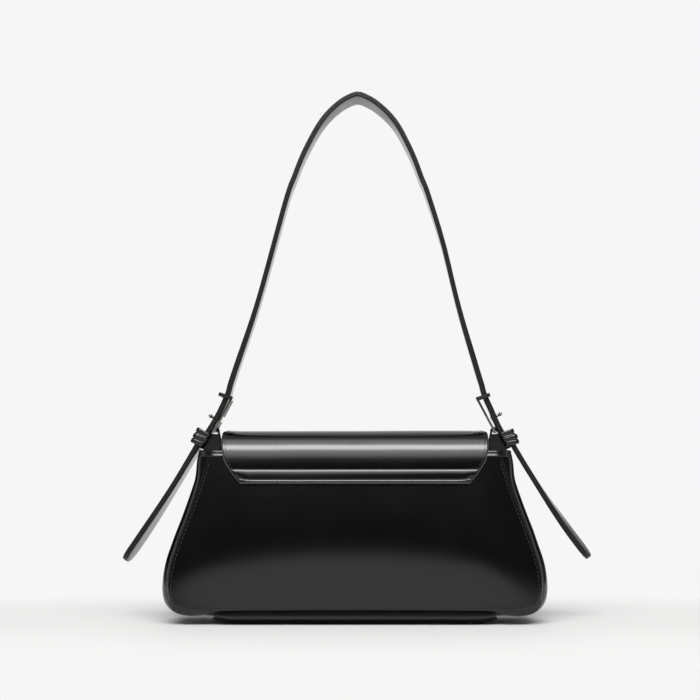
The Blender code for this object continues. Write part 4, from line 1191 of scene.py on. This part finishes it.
# %% Strap run
BAR_PLACE = Vector((105.3 * MM, 0.0, 143.1 * MM))
FRAME_LEAN = math.radians(30.0)
OUT = Vector((math.cos(FRAME_LEAN), 0.0, math.sin(FRAME_LEAN)))
UP = Vector((-math.sin(FRAME_LEAN), 0.0, math.cos(FRAME_LEAN)))
SIDEWAYS = Vector((0.0, 1.0, 0.0))
STRAP_HALF_WIDTH = 13.0 * MM
STRAP_HALF_THICK = 1.8 * MM
STRAP_SWELL = 0.3 * MM
TURN_LEFT = math.radians(-2.0)
SWING_HEIGHT = 188.0 * MM
STRAP_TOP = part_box("strap")[1][2]
SWING_HALF_SPAN = 91.9 * MM
SPAN_SHARES = (1.0, 0.815, 0.597, 0.530, 0.475, 0.418, 0.340, 0.263, 0.173, 0.093, 0.0)
RISE_SHARES = (0.0, 0.253, 0.613, 0.698, 0.762, 0.816, 0.879, 0.925, 0.963, 0.986, 1.0)
STRAP_LEAN = 2.0 * MM
STRAP_LEAD = 10.0 * MM
KEEPER_OUT = 5.5 * MM
KEEPER_UP = -9.2 * MM
KEEPER_HALF_HEIGHT = 4.7 * MM
TURN_RIGHT = math.radians(5.2)
# How far out and up from the bar the strap passes the collar and the stud.
AT_COLLAR = (4.9 * MM, 27.6 * MM)
AT_STUD = (3.5 * MM, 10.4 * MM)
# The right leg stands out by SWELL below the crown and by less near it, and comes back a little
# lower down. Each grows downwards, or fades, from one height over another length.
SWELL = 4.1 * MM
SWELL_FADE = (338.0 * MM, 62.0 * MM)
CROWN_SWELL = 1.4 * MM
CROWN_FADE = (396.0 * MM, 26.0 * MM)
SWELL_BACK = 2.0 * MM
BACK_FADE = (270.0 * MM, 89.0 * MM)
KEEPER_FADE = (138.0 * MM, 24.0 * MM)


def at_buckle(out, up):
    return BAR_PLACE + OUT * out + UP * up


def arch_places():
    """The strap's outer face, from the crown down to the swing axis on the right."""
    rise = STRAP_TOP - SWING_HEIGHT
    shares = reversed(list(zip(SPAN_SHARES, RISE_SHARES)))
    points = [Vector((SWING_HALF_SPAN * a, 0.0, SWING_HEIGHT + rise * b)) for a, b in shares]
    mirrored = Vector((-points[1].x, 0.0, points[1].z))
    return curve_through([mirrored] + points, 6)[6:]


def strap_half():
    """Centre places from the crown to the keeper's lower end, for the right side."""
    outer = arch_places()
    places = []
    for index, place in enumerate(outer):
        after = outer[min(len(outer) - 1, index + 1)]
        before = outer[index - 1] if index else Vector((-outer[1].x, 0.0, outer[1].z))
        along = (after - before).normalized()
        lean = STRAP_LEAN * (place.z - SWING_HEIGHT) / (STRAP_TOP - SWING_HEIGHT)
        inward = Vector((along.z, 0.0, -along.x)) * STRAP_HALF_THICK
        places.append((place + inward, lean))
    low = places[-1][0] + (places[-1][0] - places[-2][0]).normalized() * STRAP_LEAD
    ends = [
        places[-1][0],
        low,
        at_buckle(*AT_COLLAR),
        at_buckle(*AT_STUD),
        at_buckle(KEEPER_OUT - 1.5 * MM, KEEPER_UP + KEEPER_HALF_HEIGHT),
        at_buckle(KEEPER_OUT, KEEPER_UP - KEEPER_HALF_HEIGHT),
    ]
    tail_run = [(place, 0.0) for place in curve_through(ends, 8)[1:]]
    return places + tail_run


def right_swell(z):
    """The right leg carries the load less evenly, so it stands a few millimetres further out."""
    middle = smooth_step((SWELL_FADE[0] - z) / SWELL_FADE[1])
    near_crown = CROWN_SWELL * smooth_step((CROWN_FADE[0] - z) / CROWN_FADE[1]) * (1.0 - middle)
    back = SWELL_BACK * min(1.0, max(0.0, (BACK_FADE[0] - z) / BACK_FADE[1]))
    return (SWELL * middle + near_crown - back) * smooth_step((z - KEEPER_FADE[0]) / KEEPER_FADE[1])


def band_frame(out, turn):
    """The ways across and through a band whose face looks outwards, turned about its run."""
    across = SIDEWAYS * math.cos(turn) + out * math.sin(turn)
    return across, out * math.cos(turn) - SIDEWAYS * math.sin(turn)


def strap_stations():
    half = strap_half()
    whole = [Vector((-p.x + lean, 0.0, p.z)) for p, lean in reversed(half[1:])]
    whole += [Vector((p.x + lean + right_swell(p.z), 0.0, p.z)) for p, lean in half]
    whole = even_steps(whole, 2.4 * MM)
    stations = []
    for index, place in enumerate(whole):
        along = heading(whole, index).normalized()
        out = Vector((-along.z, 0.0, along.x))
        turn = TURN_RIGHT * smooth_step((place.x - 20.0 * MM) / (60.0 * MM))
        turn -= TURN_LEFT * smooth_step((-place.x - 20.0 * MM) / (40.0 * MM))
        turn += uneven(place, 0.09, 0.025, 3.3)
        thick = STRAP_HALF_THICK + STRAP_SWELL * smooth_step((250.0 * MM - place.z) / (60.0 * MM))
        stations.append((place, *band_frame(out, turn), STRAP_HALF_WIDTH, thick))
    return stations


STRAP_STATIONS = strap_stations()
SWING_BEND = ("strap", (0.0, 0.0, 174.0 * MM), (0.0, 0.0, 202.0 * MM))
strap_leather = piece(
    "strap_leather",
    tube(band_rows(STRAP_STATIONS)),
    ["strap", "strap_end_left", "strap_end_right"],
    bend=SWING_BEND,
)
paint_edges(strap_leather)
print("strap stations:", len(STRAP_STATIONS))

# %% [markdown]
# Tails
#
# What is left of the strap hangs free below each keeper, leaning outwards with a slight bow,
# and ends in a rounded tip. The left one shows its paler inner face. The right one has taken
# a twist of about six degrees, so its face turns slowly on the way down.

# %% Tail leathers
TAIL_LENGTH = 103.0 * MM
TAIL_LEANS = {-1: math.radians(32.5), 1: math.radians(34.2)}
TAIL_BOWS = {-1: -1.3 * MM, 1: -1.9 * MM}
TAIL_SHIFTS = {-1: -0.2 * MM, 1: 1.2 * MM}
TAIL_TWISTS = {-1: (-0.8, -4.8), 1: (6.0, 12.5)}
TAIL_BEND = 12.0 * MM
TAIL_TIP = 11.0 * MM
TIP_HALF = 2.0 * MM
STRAIGHT_STEPS = 44
TIP_STEPS = 8
TAILS = {}
TAIL_PIVOT = at_buckle(KEEPER_OUT, KEEPER_UP - KEEPER_HALF_HEIGHT)


def tail_stations(side):
    lean = TAIL_LEANS[side]
    most = TAIL_BOWS[side]
    down = Vector((math.sin(lean), 0.0, -math.cos(lean)))
    outward = Vector((math.cos(lean), 0.0, math.sin(lean)))
    top, bottom = (math.radians(twist) for twist in TAIL_TWISTS[side])
    stations = []
    for step in range(STRAIGHT_STEPS + TIP_STEPS + 1):
        if step < STRAIGHT_STEPS:
            along = (TAIL_LENGTH - TAIL_TIP) * step / STRAIGHT_STEPS
            half_width = STRAP_HALF_WIDTH
        else:
            angle = 0.5 * math.pi * min(0.985, (step - STRAIGHT_STEPS) / TIP_STEPS)
            along = TAIL_LENGTH - TAIL_TIP + TAIL_TIP * math.sin(angle)
            half_width = TIP_HALF + (STRAP_HALF_WIDTH - TIP_HALF) * math.cos(angle) ** 0.8
        share = along / TAIL_LENGTH
        bow = most * 4.0 * share * (1.0 - share)
        tilt = math.atan(most * 4.0 * (1.0 - 2.0 * share) / TAIL_LENGTH)
        out = outward * math.cos(tilt) - down * math.sin(tilt)
        place = TAIL_PIVOT + down * (along + 1.0 * MM) + outward * (bow + TAIL_SHIFTS[side])
        turn = top + (bottom - top) * smooth_step((share - 0.25) / 0.55)
        ways = [on_side(vector, side) for vector in (place, *band_frame(out, turn))]
        stations.append((*ways, half_width, STRAP_HALF_THICK + 0.5 * STRAP_SWELL))
    return stations, down


for name, side in SIDES:
    stations, down = tail_stations(side)
    start = on_side(TAIL_PIVOT, side)
    end = start + on_side(down, side) * TAIL_BEND
    TAILS[name] = (stations, ("tail_" + name, tuple(start), tuple(end)))
    shape = tube(band_rows(stations))
    paint_edges(piece("tail_leather_" + name, shape, ["strap_tail_" + name], bend=TAILS[name][1]))
print("tail length", round(TAIL_LENGTH / MM), "mm")

# %% [markdown]
# Keepers
#
# Each keeper is a soft strip wound four times round the strap under the buckle. A turn is a
# small pillow of leather, and the turns lean against each other, which gives the jagged
# outline. Each turn is a ring with a pillow section, tilted a little its own way, round a
# plain core that fills the inside.

# %% Keeper wraps
def rounded_loop(half_a, half_b, radius, corner_steps=8, straight_steps=4):
    """A rounded rectangle as (a, b) pairs with their outward directions."""
    loop = []
    for quarter in range(4):
        centre_a = (half_a - radius) * (1 if quarter in (0, 3) else -1)
        centre_b = (half_b - radius) * (1 if quarter in (0, 1) else -1)
        for step in range(corner_steps + 1):
            angle = 0.5 * math.pi * (quarter + step / corner_steps)
            ca, cb = math.cos(angle), math.sin(angle)
            loop.append((centre_a + radius * ca, centre_b + radius * cb, ca, cb))
    filled = []
    for index, near in enumerate(loop):
        far = loop[(index + 1) % len(loop)]
        filled.append(near)
        if math.hypot(near[0] - far[0], near[1] - far[1]) > 1.5 * MM:
            for step in range(1, straight_steps):
                share = step / straight_steps
                filled.append(tuple(n + (f - n) * share for n, f in zip(near, far)))
    return filled


# For each turn: its tilt outwards and sideways in degrees, and how much it is larger.
KEEPER_WRAPS = ((5.0, 3.0, 0.1), (-1.0, -2.0, 0.5), (3.0, 3.0, 0.25), (-2.0, -2.0, 0.5))
KEEPER_TURNS = {-1: 2.0, 1: 13.0}
WRAP_HALF_OUT = 5.2 * MM
WRAP_HALF_SIDE = 15.2 * MM
CORE_HALF_SIDE = 15.1 * MM
WRAP_CORNER = 2.4 * MM
PILLOW_HALF = 1.75 * MM
PILLOW_RISE = 0.55 * MM
PILLOW_STEPS = 14
CORE_SHARES = (-0.86, -0.5, 0.0, 0.5, 0.86)


def ring_space(side, up, tilt_out, tilt_side):
    """The tilted frame of one turn: centre, out, sideways and up."""
    turn = Matrix.Rotation(math.radians(tilt_out), 3, SIDEWAYS)
    turn = turn @ Matrix.Rotation(math.radians(tilt_side), 3, OUT)
    return [on_side(way, side) for way in (at_buckle(KEEPER_OUT, up), turn @ OUT, turn @ SIDEWAYS, turn @ UP)]


def keeper_shape(side, seed):
    shape = bmesh.new()
    spacing = 2.0 * KEEPER_HALF_HEIGHT / len(KEEPER_WRAPS)
    for index, (tilt_out, tilt_side, larger) in enumerate(KEEPER_WRAPS):
        up = KEEPER_UP + (index - 0.5 * (len(KEEPER_WRAPS) - 1)) * spacing
        centre, out, sideways, along = ring_space(side, up, tilt_out + KEEPER_TURNS[side], tilt_side)
        grow = larger * MM
        rows = []
        for a, b, ca, cb in rounded_loop(WRAP_HALF_OUT + grow, WRAP_HALF_SIDE + grow, WRAP_CORNER):
            place = centre + out * a + sideways * b
            away = out * ca + sideways * cb
            ripple = uneven(place, 0.005, 0.5 * MM, seed + index)
            row = []
            for step in range(PILLOW_STEPS):
                angle = 2.0 * math.pi * step / PILLOW_STEPS
                lift = PILLOW_RISE * math.cos(angle) + ripple
                row.append(place + away * lift + along * (PILLOW_HALF * math.sin(angle)))
            rows.append(row)
        lay_grid(shape, rows, closed=True, wrapped=True)
    return shape


def core_shape(side):
    loop = rounded_loop(WRAP_HALF_OUT, CORE_HALF_SIDE, WRAP_CORNER)
    rows = []
    for share in CORE_SHARES:
        up = KEEPER_UP + KEEPER_HALF_HEIGHT * share
        centre, out, sideways, _ = ring_space(side, up, KEEPER_TURNS[side], 0.0)
        rows.append([centre + out * a + sideways * b for a, b, _, _ in loop])
    return tube(rows)


for name, side in SIDES:
    shape = keeper_shape(side, 5.0 + side)
    piece("keeper_wrap_" + name, shape, ["keeper_" + name], SOFT)
    piece("keeper_core_" + name, core_shape(side), (), SOFT)
print("keeper turns:", len(KEEPER_WRAPS), "a side")

# %% [markdown]
# Tabs
#
# A folded strip of leather holds each buckle to the bag. It goes round the frame's lower bar
# and both its legs run down inside the gusset, where they are sewn. Pressed together they
# make a thick black block just below the bar, so the piece is a looped band and a wedge
# that fills the fold.

# %% Tab leathers
TAB_HALF_WIDTH = 11.8 * MM
TAB_TURN = math.radians(7.0)
TAB_HALF_THICK = 0.75 * MM
TAB_STEP = 0.9 * MM
BAR_LOOP = 2.35 * MM
WEDGE_ROUND = 0.35 * MM
# Width and height in millimetres: up the outer leg, down the inner one, and round the wedge.
OUTER_LEG = (
    (110.3, 108.0), (110.4, 118.0), (110.9, 125.5), (112.6, 129.6), (115.6, 131.2), (115.0, 134.4),
    (109.4, 139.5),
)
INNER_LEG = ((102.3, 139.0), (101.4, 134.0), (101.8, 128.4), (106.2, 122.5), (108.3, 117.0), (108.6, 108.0))
WEDGE = (
    (101.8, 140.6), (108.3, 140.9), (114.0, 134.2), (113.9, 131.6), (110.2, 126.0), (109.6, 119.0),
    (106.9, 122.5), (102.4, 127.6), (101.4, 134.0),
)
WEDGE_MIDDLE = (107.0, 130.0)


def tab_path():
    points = [Vector((x * MM, 0.0, z * MM)) for x, z in OUTER_LEG]
    for step in range(9):
        angle = math.radians(-12.0 + 204.0 * step / 8)
        round_bar = (BAR_LOOP * math.cos(angle), BAR_LOOP * math.sin(angle))
        points.append(Vector((BAR_PLACE.x + round_bar[0], 0.0, BAR_PLACE.z + round_bar[1])))
    points += [Vector((x * MM, 0.0, z * MM)) for x, z in INNER_LEG]
    return even_steps(curve_through(points, 6), TAB_STEP)


def wedge_rows(side):
    rows = []
    for share in (-0.97, -0.9, 0.0, 0.9, 0.97):
        pull = WEDGE_ROUND if abs(share) > 0.95 else 0.0
        row = []
        for x, z in WEDGE:
            inward = Vector((WEDGE_MIDDLE[0] - x, 0.0, WEDGE_MIDDLE[1] - z)).normalized() * pull
            lean = math.tan(TAB_TURN) * share * TAB_HALF_WIDTH * smooth_step((110.0 - x) / 6.0)
            row.append(Vector((side * (x * MM + inward.x + lean), share * TAB_HALF_WIDTH, z * MM + inward.z)))
        rows.append(row)
    return rows


def tab_shape(side):
    stations = []
    path = tab_path()
    for index, place in enumerate(path):
        along = heading(path, index).normalized()
        through = Vector((along.z * side, 0.0, -along.x))
        turn = TAB_TURN * smooth_step((110.0 * MM - place.x) / (6.0 * MM))
        across = SIDEWAYS * math.cos(turn) + Vector((math.sin(turn) * side, 0.0, 0.0))
        stations.append((on_side(place, side), across, through, TAB_HALF_WIDTH, TAB_HALF_THICK))
    shape = tube(band_rows(stations))
    lay_tube(shape, wedge_rows(side))
    return shape


for name, side in SIDES:
    piece("tab_leather_" + name, tab_shape(side), ["tab_" + name])

# %% [markdown]
# Metal and board
#
# The two halves of the snap and the board under the lining keep the shapes of their solids,
# since these are true to the real parts. The buckle frames and studs are copies of theirs: on
# the real bag the strap pulls each frame a few degrees round, so that its far rail hides behind
# the near one. A small bevel breaks the edges of the frames and of the snap: on polished metal
# the bright line along an edge comes from that bevel, and from a highlight painted paler into
# the metal's colour along its edges.

# %% Finished solids
FINISHED = (("snap_socket", METAL, 0.2), ("snap_stud", METAL, 0.2), ("base_board", BOARD, 0.3))


def soften_edges(solid, edge):
    bevel = solid.modifiers.new("soft_edges", "BEVEL")
    bevel.width = edge * MM
    bevel.segments = 3
    bevel.limit_method = "ANGLE"
    bevel.angle_limit = math.radians(32.0)
    bevel.harden_normals = True


for name, finish, edge in FINISHED:
    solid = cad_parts[name]
    solid.data.materials.clear()
    solid.data.materials.append(finish)
    soften_edges(solid, edge)
print("finished solids:", len(FINISHED))

# %% Buckles as they hang
# For each side: how far the frame is turned about its length, how far its top leans out, and
# how far the stud stands lower and further out than in the solids.
FRAME_TURNS = {-1: math.radians(3.0), 1: math.radians(6.3)}
FRAME_LEANS_OUT = {-1: 1.2 * MM, 1: 1.0 * MM}
FRAME_REACH = 29.0 * MM
STUD_DOWN = {-1: 2.2 * MM, 1: 1.2 * MM}
STUD_OUT = {-1: 0.0, 1: 1.3 * MM}


def copy_solid(name):
    shape = bmesh.new()
    shape.from_mesh(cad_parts[name].data)
    return shape


def metal_piece(name, shape, solid):
    return piece(name, shape, [solid], METAL, sharp=30.0)


for name, side in SIDES:
    out_way, up_way, bar_place = (on_side(vector, side) for vector in (OUT, UP, BAR_PLACE))
    shape = copy_solid("buckle_frame_" + name)
    for vertex in shape.verts:
        raised = (vertex.co - bar_place).dot(up_way) / FRAME_REACH
        push = vertex.co.y * math.tan(FRAME_TURNS[side]) + FRAME_LEANS_OUT[side] * raised
        vertex.co += out_way * push
    soften_edges(metal_piece("buckle_" + name, shape, "buckle_frame_" + name), 0.12)
    shape = copy_solid("buckle_stud_" + name)
    for vertex in shape.verts:
        vertex.co += out_way * STUD_OUT[side] - up_way * STUD_DOWN[side]
    metal_piece("stud_" + name, shape, "buckle_stud_" + name)
print("buckles turned", [round(math.degrees(turn), 1) for turn in FRAME_TURNS.values()], "degrees")

# %% [markdown]
# Mouth edge
#
# The mouth is bound with a folded strip that straddles the top of the walls all the way
# round. Its section is an inverted U carried round the mouth, over the front and rear panels
# and over the tops of the gussets.

# %% Mouth edge leather
MOUTH_OUTSIDE = (
    (2.6, -4.1), (3.1, -3.9), (3.3, -3.5), (3.2, -3.1), (2.95, -2.5), (2.65, -1.8), (2.6, -1.0),
    (2.55, 0.2), (1.9, 0.85), (0.9, 1.1),
)
MOUTH_INSIDE = ((-2.1, -3.8), (-2.0, -1.0), (-1.2, -0.1))
MOUTH_SECTION = [
    *MOUTH_OUTSIDE,
    *((-a, b) for a, b in reversed(MOUTH_OUTSIDE)),
    *MOUTH_INSIDE,
    (0.0, 0.05),
    *((-a, b) for a, b in reversed(MOUTH_INSIDE)),
]
MOUTH_CORNER = 6.0 * MM


def mouth_path():
    """Places along the middle of the wall, round the mouth."""
    half = half_depth(BODY_TOP) - GUSSET_IN
    places = [Vector((share * (SEAM_HALF_TOP - MOUTH_CORNER), -half, 0.0)) for share in even_shares(40)]
    for across in strip_shares(26):
        out = SEAM_HALF_TOP - GUSSET_IN + GUSSET_BULGE_TOP * bulge_share(across)
        places.append(Vector((out, across * half, 0.0)))
    whole = places + [Vector((-p.x, -p.y, 0.0)) for p in places]
    whole.append(whole[0])
    even = even_steps(whole, 2.0 * MM)[:-1]
    for _ in range(2):
        even = [(even[i - 1] + even[i] * 2 + even[(i + 1) % len(even)]) * 0.25 for i in range(len(even))]
    return even


MOUTH = mouth_path()


def mouth_shape():
    rows = []
    for index, place in enumerate(MOUTH):
        along = (MOUTH[(index + 1) % len(MOUTH)] - MOUTH[index - 1]).normalized()
        away = Vector((along.y, -along.x, 0.0))
        wave = uneven(place, 0.03, 0.25 * MM, 8.0)
        row = []
        for a, b in MOUTH_SECTION:
            row.append(place + away * (a * MM) + Vector((0.0, 0.0, BODY_TOP + b * MM + wave * 0.4)))
        rows.append(row)
    shape = bmesh.new()
    lay_grid(shape, rows, closed=True, wrapped=True)
    return shape


bindings = ["mouth_binding_rear", "mouth_binding_front"]
piece("mouth_edge", mouth_shape(), bindings, SOFT)
print("mouth edge runs", round(sum((b - a).length for a, b in zip(MOUTH, MOUTH[1:])) / MM), "mm")

# %% [markdown]
# Inside
#
# The bag is lined with black twill. The lining is a pouch that hangs from the mouth edge and
# follows the walls a little inside them, rounded where it meets the base. A flat pocket with
# a turned hem is sewn to the rear wall.

# %% Lining
LINING_IN = 4.6 * MM
LINING_FLOOR = 6.4 * MM
LINING_TOP = BODY_TOP - 0.6 * MM
LINING_DROP = BODY_TOP - 16.0 * MM
FLOOR_TURN = 9.0 * MM
LINING_SLACK = 0.5 * MM


def lining_ring(z, shrink):
    """A ring of places round the inside at one height."""
    bottom = SEAM[-1]
    x_seam = next((x for x, height, _ in SEAM if height <= z), bottom[0])
    angle = next((a for _, height, a in SEAM if height <= z), bottom[2])
    bulge = bulge_at(z, angle, GUSSET_BULGE_ENDS[-1]) * math.cos(angle)
    half_x = max(20.0 * MM, x_seam - LINING_IN * 0.5 - shrink)
    half_y = half_depth(z) - LINING_IN - 0.6 * shrink
    ring = [Vector((share * half_x, -half_y, z)) for share in even_shares(36)]
    for across in strip_shares(14)[1:-1]:
        ring.append(Vector((half_x + (bulge - 1.5 * MM) * bulge_share(across), across * half_y, z)))
    return ring + [Vector((-p.x, -p.y, z)) for p in ring]


def lining_shape():
    heights = [LINING_TOP - LINING_DROP * step / 34 for step in range(35)]
    rows = [lining_ring(z, 0.0) for z in heights]
    for step in range(1, 9):
        angle = 0.5 * math.pi * step / 8
        z = LINING_FLOOR + (heights[-1] - LINING_FLOOR) * (1.0 - math.sin(angle))
        rows.append(lining_ring(z, FLOOR_TURN * (1.0 - math.cos(angle))))
    for place in (place for row in rows for place in row):
        slack = uneven(place, 0.03, LINING_SLACK, 2.0)
        place.y -= slack * (1 if place.y > 0 else -1)
    shape = bmesh.new()
    shape.faces.new(lay_grid(shape, rows, closed=True)[-1])
    return shape


piece("lining_bag", lining_shape(), ["lining"], CLOTH, thick=0.5 * MM)
lining_tops = [round(top / MM, 1) for top in (LINING_TOP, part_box("lining")[1][2])]
print("lining ends at", lining_tops[0], "mm, its solid at", lining_tops[1], "mm")

# %% Pocket
POCKET_STAND = 0.8 * MM
POCKET_PUFF = 1.5 * MM
HEM_RISE = 0.5 * MM
pocket_low, pocket_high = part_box("slip_pocket")


def pocket_shape():
    rows = []
    steps = 26
    for step in range(steps + 1):
        share = step / steps
        z = pocket_low[2] + (pocket_high[2] - pocket_low[2]) * share
        wall = -(half_depth(z) - LINING_IN)
        hem = HEM_RISE * smooth_step((share - 0.86) / 0.03)
        row = []
        for u in even_shares(30):
            puff = POCKET_PUFF * (1.0 - u**6) * smooth_step(share / 0.2)
            row.append(Vector((u * pocket_high[0], wall + POCKET_STAND + puff + hem, z)))
        rows.append(row)
    return skin(rows)


piece("pocket", pocket_shape(), ["slip_pocket"], CLOTH, thick=0.6 * MM)

# %% [markdown]
# Flap facing
#
# The underside of the flap is faced with softer leather, cut a few millimetres short of the
# flap's own edge.

# %% Facing
FACING_SHORT = 2.2 * MM
FACING_GAP = 2.9 * MM
FACING_START = 128.5 * MM


def facing_shape():
    rows = []
    for y, z, tilt in FLAP_SECTION:
        if (y < 0.0 and z < FACING_START) or (y > 0.0 and z < FLAP_END + FACING_SHORT):
            continue
        width = flap_half_width(y, z) - FACING_SHORT
        inwards = surface_normal(tilt) * FACING_GAP
        rows.append([Vector((u * width, y, z)) - inwards for u in across_shares(24, 3)])
    return skin(rows)


piece("flap_facing", facing_shape(), ["flap_lining"], SOFT, body="flap", thick=0.9 * MM)

# %% [markdown]
# Stitches
#
# Waxed thread holds the edges together. Each stitch is a short capsule that dips into the
# leather at both ends. The rows follow the flap all the way round, the panels beside their
# seams, and both edges of the strap and of its tails on either face.

# %% Stitch helpers
STITCH_LENGTH = 2.3 * MM
STITCH_PITCH = 3.2 * MM
THREAD_HALF = 0.28 * MM
THREAD_SIDES = 7
# Where along its length a stitch is how thick.
STITCH_SHARES = ((-0.5, 0.45), (-0.36, 0.9), (0.0, 1.0), (0.36, 0.9), (0.5, 0.45))


def add_stitch(shape, centre, along, up):
    across = along.cross(up).normalized()
    rows = []
    for share, size in STITCH_SHARES:
        middle = centre + along * (share * STITCH_LENGTH) + up * (THREAD_HALF * (0.4 - 2.4 * share**2))
        row = []
        for step in range(THREAD_SIDES):
            angle = 2.0 * math.pi * step / THREAD_SIDES
            row.append(middle + (across * math.cos(angle) + up * math.sin(angle)) * (THREAD_HALF * size))
        rows.append(row)
    lay_tube(shape, rows)


def sew(name, runs, bend=None):
    """Sews rows of stitches along runs of (place, outward) pairs; gives how many were made."""
    shape = bmesh.new()
    made = 0
    for run in runs:
        walked, wanted = 0.0, STITCH_PITCH
        for (near, up), (far, _) in zip(run, run[1:]):
            stretch = (far - near).length
            while stretch and walked + stretch >= wanted:
                along = (far - near) / stretch
                add_stitch(shape, near + along * (wanted - walked), along, up)
                wanted += STITCH_PITCH
                made += 1
            walked += stretch
    piece(name, shape, (), THREAD, bend=bend, sharp=80.0)
    return made


# %% Rows of stitches
SEAM_STITCH_IN = 2.7 * MM
BAND_STITCH_IN = 2.7 * MM
SUNK_IN_PANEL = 0.15 * MM
SUNK_IN_BAND = 0.4 * MM


def flap_rows():
    """Up the right side of the root, over the flap and down its front; and across both ends."""
    side = []
    for y, z, tilt in FLAP_SECTION:
        inset = STITCH_IN
        if y > 0.0 and z - FLAP_END < FLAP_CORNER:
            lack = FLAP_CORNER - (z - FLAP_END)
            inner = max(0.0, (FLAP_CORNER - STITCH_IN) ** 2 - lack**2)
            inset = math.sqrt(FLAP_CORNER**2 - lack**2) - math.sqrt(inner)
        if (y < 0.0 and z < ROOT_BOTTOM + 1.7 * MM) or (y > 0.0 and z < FLAP_END + STITCH_IN):
            continue
        side.append((flap_half_width(y, z) - inset, y, z, tilt))
    rows = [[flap_point(sign * x, y, z, tilt) for x, y, z, tilt in side] for sign in (-1, 1)]
    for x_end, y, z, tilt in (side[0], side[-1]):
        rows.append([flap_point(x_end * share, y, z, tilt) for share in even_shares(60)])
    return rows


def panel_rows(side, seed):
    outward = Vector((0.0, side, 0.0))
    rows = []
    for sign in (-1, 1):
        row = []
        for x, z, angle in SEAM:
            across = sign * (x - SEAM_STITCH_IN * math.cos(angle))
            height = z + SEAM_STITCH_IN * math.sin(angle)
            if 9.0 * MM < z < BODY_TOP - 5.5 * MM:
                place = panel_point(side, across, height, x, SEAM_STITCH_IN, seed)
                row.append((place + Vector((0.0, -side * SUNK_IN_PANEL, 0.0)), outward))
        rows.append(row)
    return rows


def band_stitches(stations):
    """Both edges of both faces of a band, as far as the band keeps its full width."""
    rows = []
    for edge, face in ((-1, -1), (-1, 1), (1, -1), (1, 1)):
        row = []
        for centre, across, through, half_width, half_thick in stations:
            if half_width > STRAP_HALF_WIDTH - 1.0 * MM:
                place = centre + across * (edge * (half_width - BAND_STITCH_IN))
                row.append((place + through * (face * (half_thick - SUNK_IN_BAND)), through * face))
        rows.append(row)
    return rows


total = sew("stitches_flap", flap_rows(), FLAP_BEND)
total += sew("stitches_body", [row for _, side, seed in PANELS for row in panel_rows(side, seed)])
total += sew("stitches_strap", band_stitches(STRAP_STATIONS), SWING_BEND)
for name, (stations, bend) in TAILS.items():
    total += sew("stitches_tail_" + name, band_stitches(stations), bend)
print("stitches:", total)
